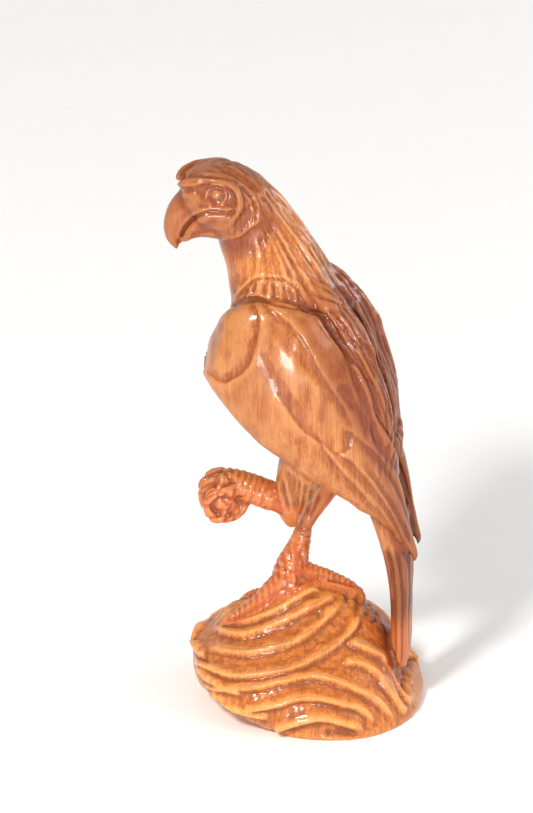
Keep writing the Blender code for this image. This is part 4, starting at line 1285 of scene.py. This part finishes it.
def varnished_wood(finish):
    """Glued upright boards with their grain, stain and painted shade in the hollows, crests lightened by wear
    and painted highlight, and a coat of varnish.
    """
    material = bpy.data.materials.new("varnished_wood")
    n = Nodes(material)
    place = n.add("ShaderNodeTexCoord").outputs["Object"]
    split = n.add("ShaderNodeSeparateXYZ")
    n.join(place, split.inputs[0])
    x, y, z = split.outputs
    rock, stain = n.value("rock"), n.value("stain")
    hollow, deep = n.value("hollow"), n.value("deep")
    in_rock = n.maths("DIVIDE", x, finish.board_width)
    lean = n.maths("ADD", n.maths("ADD", x, 0.0042), n.maths("MULTIPLY", z, 0.02))
    in_bird = n.maths("ADD", n.maths("DIVIDE", lean, finish.bird_board_width), 20.0)
    shares = n.maths("ADD", n.maths("MULTIPLY", in_rock, rock),
                     n.maths("MULTIPLY", in_bird, n.maths("SUBTRACT", 1.0, rock)))
    board = n.maths("FLOOR", shares)
    across = n.maths("SUBTRACT", shares, board)
    seam = n.maths("MINIMUM", across, n.maths("SUBTRACT", 1.0, across))
    seam_line = n.spread(seam, 0.0, 0.022, 1.0, 0.0)
    tone = n.add("ShaderNodeTexWhiteNoise", noise_dimensions="1D")
    n.join(board, tone.inputs["W"])
    tone = tone.outputs["Value"]

    drift = n.noise(place, (1.0, 1.0, 0.35), 38.0, 3.0, 0.5)
    rings = n.maths("ADD", n.maths("MULTIPLY", y, 620.0), n.maths("MULTIPLY", drift, 26.0))
    rings = n.maths("ADD", rings, n.maths("MULTIPLY", tone, 37.0))
    rings = n.maths("ADD", rings, n.maths("MULTIPLY", x, 150.0))
    year = n.maths("FRACT", rings)
    late = n.maths("POWER", year, 3.0)
    fibre = n.noise(place, (1.0, 1.0, 0.035), 1500.0, 2.0, 0.6)
    streak = n.noise(place, (1.0, 1.0, 0.06), 320.0, 3.0, 0.6)
    cloud = n.noise(place, (1.0, 1.0, 0.7), 26.0, 3.0, 0.6)
    mottle = n.noise(place, (1.0, 1.0, 1.0), 95.0, 3.0, 0.6)

    late_wood, hollow_stain_and_shade = (*finish.late_wood, 1), (*finish.hollow_stain_and_shade, 1)
    colour = n.mix(n.spread(cloud, 0.3, 0.62, 0.25, 1.0), (*finish.dark_wood, 1), (*finish.light_wood, 1))
    colour = n.mix(n.maths("MULTIPLY", rock, 0.8), colour, (*finish.rock_wood, 1))
    colour = n.mix(n.maths("MULTIPLY", late, 0.42), colour, late_wood, "MULTIPLY")
    patterns = ((streak, 0.42, 0.64, 0.6), (fibre, 0.44, 0.62, 0.7), (mottle, 0.45, 0.68, 0.22))
    for pattern, low, high, share in patterns:
        share = n.maths("MULTIPLY", n.spread(pattern, low, high), share)
        colour = n.mix(share, colour, late_wood, "MULTIPLY")
    colour = n.mix(n.spread(tone, 0, 1, 0.0, 0.22), colour, (*finish.dark_wood, 1))
    # Crests are lightened: rubbed wear together with painted highlight
    crest = n.maths("MULTIPLY", n.spread(hollow, -0.12, -0.8), 0.35)
    colour = n.mix(crest, colour, (*finish.worn_and_highlit_wood, 1))
    # Darkens the head, back, tail and lower body, and paints shade into the rock's furrows and the back's
    # cleft
    aged = n.value("aged")
    for share in (aged, n.maths("SUBTRACT", aged, 1.0, True)):
        colour = n.mix(share, colour, (*finish.darker_wood_and_shade, 1), "MULTIPLY")
    stained = n.maths("MULTIPLY", stain, n.spread(mottle, 0.3, 0.6, 0.55, 0.95))
    colour = n.mix(stained, colour, (*finish.leg_stain, 1))
    # On the stained legs the crests are lightened further: rubbed wear together with painted highlight
    rubbed = n.maths("MULTIPLY", crest, n.spread(stain, 0.0, 1.0, 0.2, 0.6))
    colour = n.mix(rubbed, colour, (*finish.worn_and_highlit_wood, 1))
    # Cuts and broad hollows are darkened: stain gathered in the cuts together with painted shade, the broad
    # hollows being painted shade
    broad = n.maths("MULTIPLY", n.spread(deep, 0.35, 1.0), 0.6)
    cut = n.maths("MAXIMUM", n.spread(hollow, 0.15, 1.0), broad)
    cut = n.maths("MULTIPLY", cut, n.spread(mottle, 0.25, 0.55, 0.75, 1.0))
    colour = n.mix(n.maths("MULTIPLY", cut, 0.78), colour, hollow_stain_and_shade)
    colour = n.mix(n.maths("MULTIPLY", seam_line, 0.4), colour, hollow_stain_and_shade)

    bump = n.maths("ADD", n.maths("MULTIPLY", fibre, 0.45), n.maths("MULTIPLY", mottle, 0.6))
    bump = n.maths("ADD", bump, n.maths("MULTIPLY", streak, 0.4))
    relief = n.add("ShaderNodeBump")
    relief.inputs["Strength"].default_value = 0.35
    relief.inputs["Distance"].default_value = 0.0006
    n.join(bump, relief.inputs["Height"])
    wear = n.maths("ADD", n.maths("MULTIPLY", mottle, 0.5), n.maths("MULTIPLY", cut, 0.6))
    rough = n.spread(wear, 0.15, 0.9, finish.roughness, finish.roughness + 0.25)
    shader = n.add("ShaderNodeBsdfPrincipled")
    n.join(colour, shader.inputs["Base Color"])
    n.join(rough, shader.inputs["Roughness"])
    n.join(relief.outputs["Normal"], shader.inputs["Normal"])
    shader.inputs["Coat Weight"].default_value = 0.6
    shader.inputs["Coat Roughness"].default_value = 0.12
    shader.inputs["Specular IOR Level"].default_value = 0.15
    shader.inputs["Coat IOR"].default_value = 1.5
    out = n.add("ShaderNodeOutputMaterial")
    n.join(shader.outputs["BSDF"], out.inputs["Surface"])
    return material


def pale_floor(colour):
    """Plain matt floor."""
    material = bpy.data.materials.new("pale_floor")
    n = Nodes(material)
    place = n.add("ShaderNodeTexCoord").outputs["Object"]
    grain = n.noise(place, (1.0, 1.0, 1.0), 60.0, 3.0)
    shade = n.mix(n.spread(grain, 0.3, 0.7, 0.0, 0.05), (*colour, 1), (0.7, 0.68, 0.66, 1))
    shader = n.add("ShaderNodeBsdfPrincipled")
    n.join(shade, shader.inputs["Base Color"])
    shader.inputs["Roughness"].default_value = 0.8
    out = n.add("ShaderNodeOutputMaterial")
    n.join(shader.outputs["BSDF"], out.inputs["Surface"])
    return material


class CarvingSizes(bpy.types.PropertyGroup):
    """Sizes of the carved relief."""
    skin_voxel: FloatProperty(name="Skin voxel", description="Fineness of the joined skin", default=0.95 * MM,
                              unit="LENGTH")
    soften_steps: IntProperty(name="Soften steps", description="Rounds of smoothing where forms join",
                              default=4)
    most_triangles: IntProperty(name="Most triangles", description="Largest size of the figure's mesh",
                                default=192000)
    ridge_height: FloatProperty(name="Ridge height", description="Height of the rock's wave ridges",
                                default=4.2 * MM, unit="LENGTH")
    feather_step: FloatProperty(name="Feather step", description="Height of a large feather's edge",
                                default=1.5 * MM, unit="LENGTH")
    stroke_depth: FloatProperty(name="Stroke depth", description="Depth of a small knife cut",
                                default=0.9 * MM, unit="LENGTH")
    mane_depth: FloatProperty(name="Mane depth", description="Depth of the long grooves down the neck",
                              default=1.7 * MM, unit="LENGTH")
    flute_depth: FloatProperty(name="Flute depth", description="Depth of the flutes of the tail",
                               default=2.2 * MM, unit="LENGTH")
    socket_depth: FloatProperty(name="Socket depth", description="Hollow round the eye", default=2.0 * MM,
                                unit="LENGTH")
    eye_rise: FloatProperty(name="Eye rise", description="How far the eye stands up", default=1.4 * MM,
                            unit="LENGTH")
    jaw_rise: FloatProperty(name="Jaw rise", description="Fullness of the lower beak under the mouth line",
                            default=1.3 * MM, unit="LENGTH")
    rim_height: FloatProperty(name="Rim height", description="Height of the rim from brow to cheek",
                              default=1.2 * MM, unit="LENGTH")
    facet_depth: FloatProperty(name="Facet depth", description="Depth of the flats left by the gouge",
                               default=0.25 * MM, unit="LENGTH")
    cape_lane: FloatProperty(name="Cape lane", description="Width of one narrow feather of the cape",
                             default=4.6 * MM, unit="LENGTH")
    cleft_depth: FloatProperty(name="Cleft depth", description="Extra depth of the cleft down the back",
                               default=2.4 * MM, unit="LENGTH")
    knuckle_depth: FloatProperty(name="Knuckle depth", description="Depth of the flats on the closed foot",
                                 default=1.5 * MM, unit="LENGTH")
    chatter_depth: FloatProperty(name="Chatter depth", description="Unevenness left by the tools",
                                 default=0.22 * MM, unit="LENGTH")
    ring_spacing: FloatProperty(name="Ring spacing", description="Distance between the rings of a leg",
                                default=3.3 * MM, unit="LENGTH")
    ring_thickness: FloatProperty(name="Ring thickness", description="Radius of one ring of a leg",
                                  default=1.5 * MM, unit="LENGTH")


class WoodFinish(bpy.types.PropertyGroup):
    """Colours and gloss of the wood."""
    light_wood: FloatVectorProperty(name="Light wood", description="Lightest heartwood", subtype="COLOR",
                                    default=(0.64, 0.245, 0.066))
    dark_wood: FloatVectorProperty(name="Dark wood", description="Darker boards", subtype="COLOR",
                                   default=(0.43, 0.13, 0.03))
    rock_wood: FloatVectorProperty(name="Rock wood", description="Lighter wood of the rock", subtype="COLOR",
                                   default=(0.96, 0.39, 0.088))
    late_wood: FloatVectorProperty(name="Late wood", description="Tint of the dark growth rings",
                                   subtype="COLOR", default=(0.58, 0.36, 0.22))
    # Multiplied in to darken the head, back, tail and lower body, and to paint shade into the rock's furrows
    # and the back's cleft
    darker_wood_and_shade: FloatVectorProperty(name="Back wood", description="Tint of the browner back", subtype="COLOR",
                                   default=(0.47, 0.285, 0.24))
    leg_stain: FloatVectorProperty(name="Leg stain", description="Redder stain of legs and feet",
                                   subtype="COLOR", default=(0.45, 0.09, 0.022))
    # Stain gathered in the cuts together with painted shade in the hollows; also the dark colour of the glued
    # seams
    hollow_stain_and_shade: FloatVectorProperty(name="Hollow stain", description="Stain gathered in the cuts",
                                      subtype="COLOR", default=(0.17, 0.042, 0.013))
    # Lighter colour on the crests: rubbed wear together with painted highlight
    worn_and_highlit_wood: FloatVectorProperty(name="Worn wood", description="Wood rubbed light on the crests",
                                   subtype="COLOR", default=(0.85, 0.44, 0.16))
    board_width: FloatProperty(name="Board width", description="Width of one glued board of the rock",
                               default=27.8 * MM, unit="LENGTH")
    bird_board_width: FloatProperty(name="Bird board width", default=18.4 * MM, unit="LENGTH",
                                    description="Width of one glued board of the bird")
    roughness: FloatProperty(name="Roughness", description="Roughness under the varnish", default=0.34)


class StageSettings(bpy.types.PropertyGroup):
    """Camera, lights and floor."""
    turn: FloatProperty(name="Camera turn", description="Camera's place round the figure", subtype="ANGLE",
                        default=math.radians(6))
    rise: FloatProperty(name="Camera rise", description="Camera's height as an angle", subtype="ANGLE",
                        default=math.radians(25))
    distance: FloatProperty(name="Camera distance", description="From the figure", default=5.339,
                            unit="LENGTH")
    lens: FloatProperty(name="Lens", description="Focal length in millimetres", default=400.0)
    key_power: FloatProperty(name="Key light", description="Power of the main light in watts", default=64.0)
    window_power: FloatProperty(name="Window light", description="Power of the low front light in watts",
                                default=7.5)
    fill_power: FloatProperty(name="Fill light", description="Power of the other lights in watts",
                              default=13.0)
    floor_colour: FloatVectorProperty(name="Floor", description="Colour of the floor", subtype="COLOR",
                                      default=(0.95, 0.95, 0.95))


class CARVING_OT_eagle(bpy.types.Operator):
    """Carve the eagle and its rock and varnish them"""
    bl_idname = "carving.eagle"
    bl_label = "Eagle and Rock"

    def execute(self, context):
        scene = context.scene
        figure = carve_eagle(scene.carving_sizes, varnished_wood(scene.wood_finish))
        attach(figure, "root")
        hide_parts("carved_eagle")
        return {"FINISHED"}


class CARVING_OT_stage(bpy.types.Operator):
    """Set up the floor, the soft lights and the camera"""
    bl_idname = "carving.stage"
    bl_label = "Stage"

    def execute(self, context):
        stage = context.scene.carving_stage
        bm = bmesh.new()
        bmesh.ops.create_grid(bm, x_segments=1, y_segments=1, size=FLOOR_REACH)
        mesh = bpy.data.meshes.new("floor")
        bm.to_mesh(mesh)
        bm.free()
        mesh.materials.append(pale_floor(stage.floor_colour))
        floor = bpy.data.objects.new("floor", mesh)
        context.scene.collection.objects.link(floor)
        floor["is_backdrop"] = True
        middle = Vector(AIM)
        for name, power, place, size, colour in LIGHTS:
            data = bpy.data.lights.new(name, "AREA")
            data.shape = "SQUARE"
            data.size = size
            data.energy = getattr(stage, power)
            data.color = colour
            light = bpy.data.objects.new(name, data)
            light.location = place
            light.rotation_euler = (middle - Vector(place)).to_track_quat("-Z", "Y").to_euler()
            context.scene.collection.objects.link(light)
        world = bpy.data.worlds.new("soft_room")
        world.use_nodes = True
        background = world.node_tree.nodes["Background"]
        background.inputs["Color"].default_value = (*ROOM_COLOUR, 1)
        background.inputs["Strength"].default_value = ROOM_LIGHT
        context.scene.world = world
        data = bpy.data.cameras.new("camera")
        data.lens = stage.lens
        data.sensor_width = 36.0
        data.clip_end = 50.0
        camera = bpy.data.objects.new("camera", data)
        level = math.cos(stage.rise)
        back = Vector((math.sin(stage.turn) * level, -math.cos(stage.turn) * level, math.sin(stage.rise)))
        camera.location = middle + back * stage.distance
        camera.rotation_euler = (-back).to_track_quat("-Z", "Y").to_euler()
        context.scene.collection.objects.link(camera)
        context.scene.camera = camera
        context.scene.view_settings.view_transform = "Standard"
        return {"FINISHED"}


class CARVING_PT_panel(bpy.types.Panel):
    """Lists the steps and their sizes"""
    bl_idname = "CARVING_PT_panel"
    bl_label = "Carved Eagle"
    bl_space_type = "VIEW_3D"
    bl_region_type = "UI"
    bl_category = "Carving"

    def draw(self, context):
        layout = self.layout
        for title, group, operator in (("Carving", "carving_sizes", "carving.eagle"),
                                       ("Finish", "wood_finish", None),
                                       ("Stage", "carving_stage", "carving.stage")):
            box = layout.box()
            box.label(text=title)
            settings = getattr(context.scene, group)
            for name in settings.__annotations__:
                box.prop(settings, name)
            if operator:
                box.operator(operator)


CLASSES = (CarvingSizes, WoodFinish, StageSettings, CARVING_OT_eagle, CARVING_OT_stage, CARVING_PT_panel)


def register():
    for item in CLASSES:
        bpy.utils.register_class(item)
    bpy.types.Scene.carving_sizes = PointerProperty(type=CarvingSizes)
    bpy.types.Scene.wood_finish = PointerProperty(type=WoodFinish)
    bpy.types.Scene.carving_stage = PointerProperty(type=StageSettings)


def unregister():
    del bpy.types.Scene.carving_stage
    del bpy.types.Scene.wood_finish
    del bpy.types.Scene.carving_sizes
    for item in reversed(CLASSES):
        bpy.utils.unregister_class(item)


def main():
    register()
    bpy.ops.carving.eagle()
    bpy.ops.carving.stage()


if __name__ == "__main__":
    main()
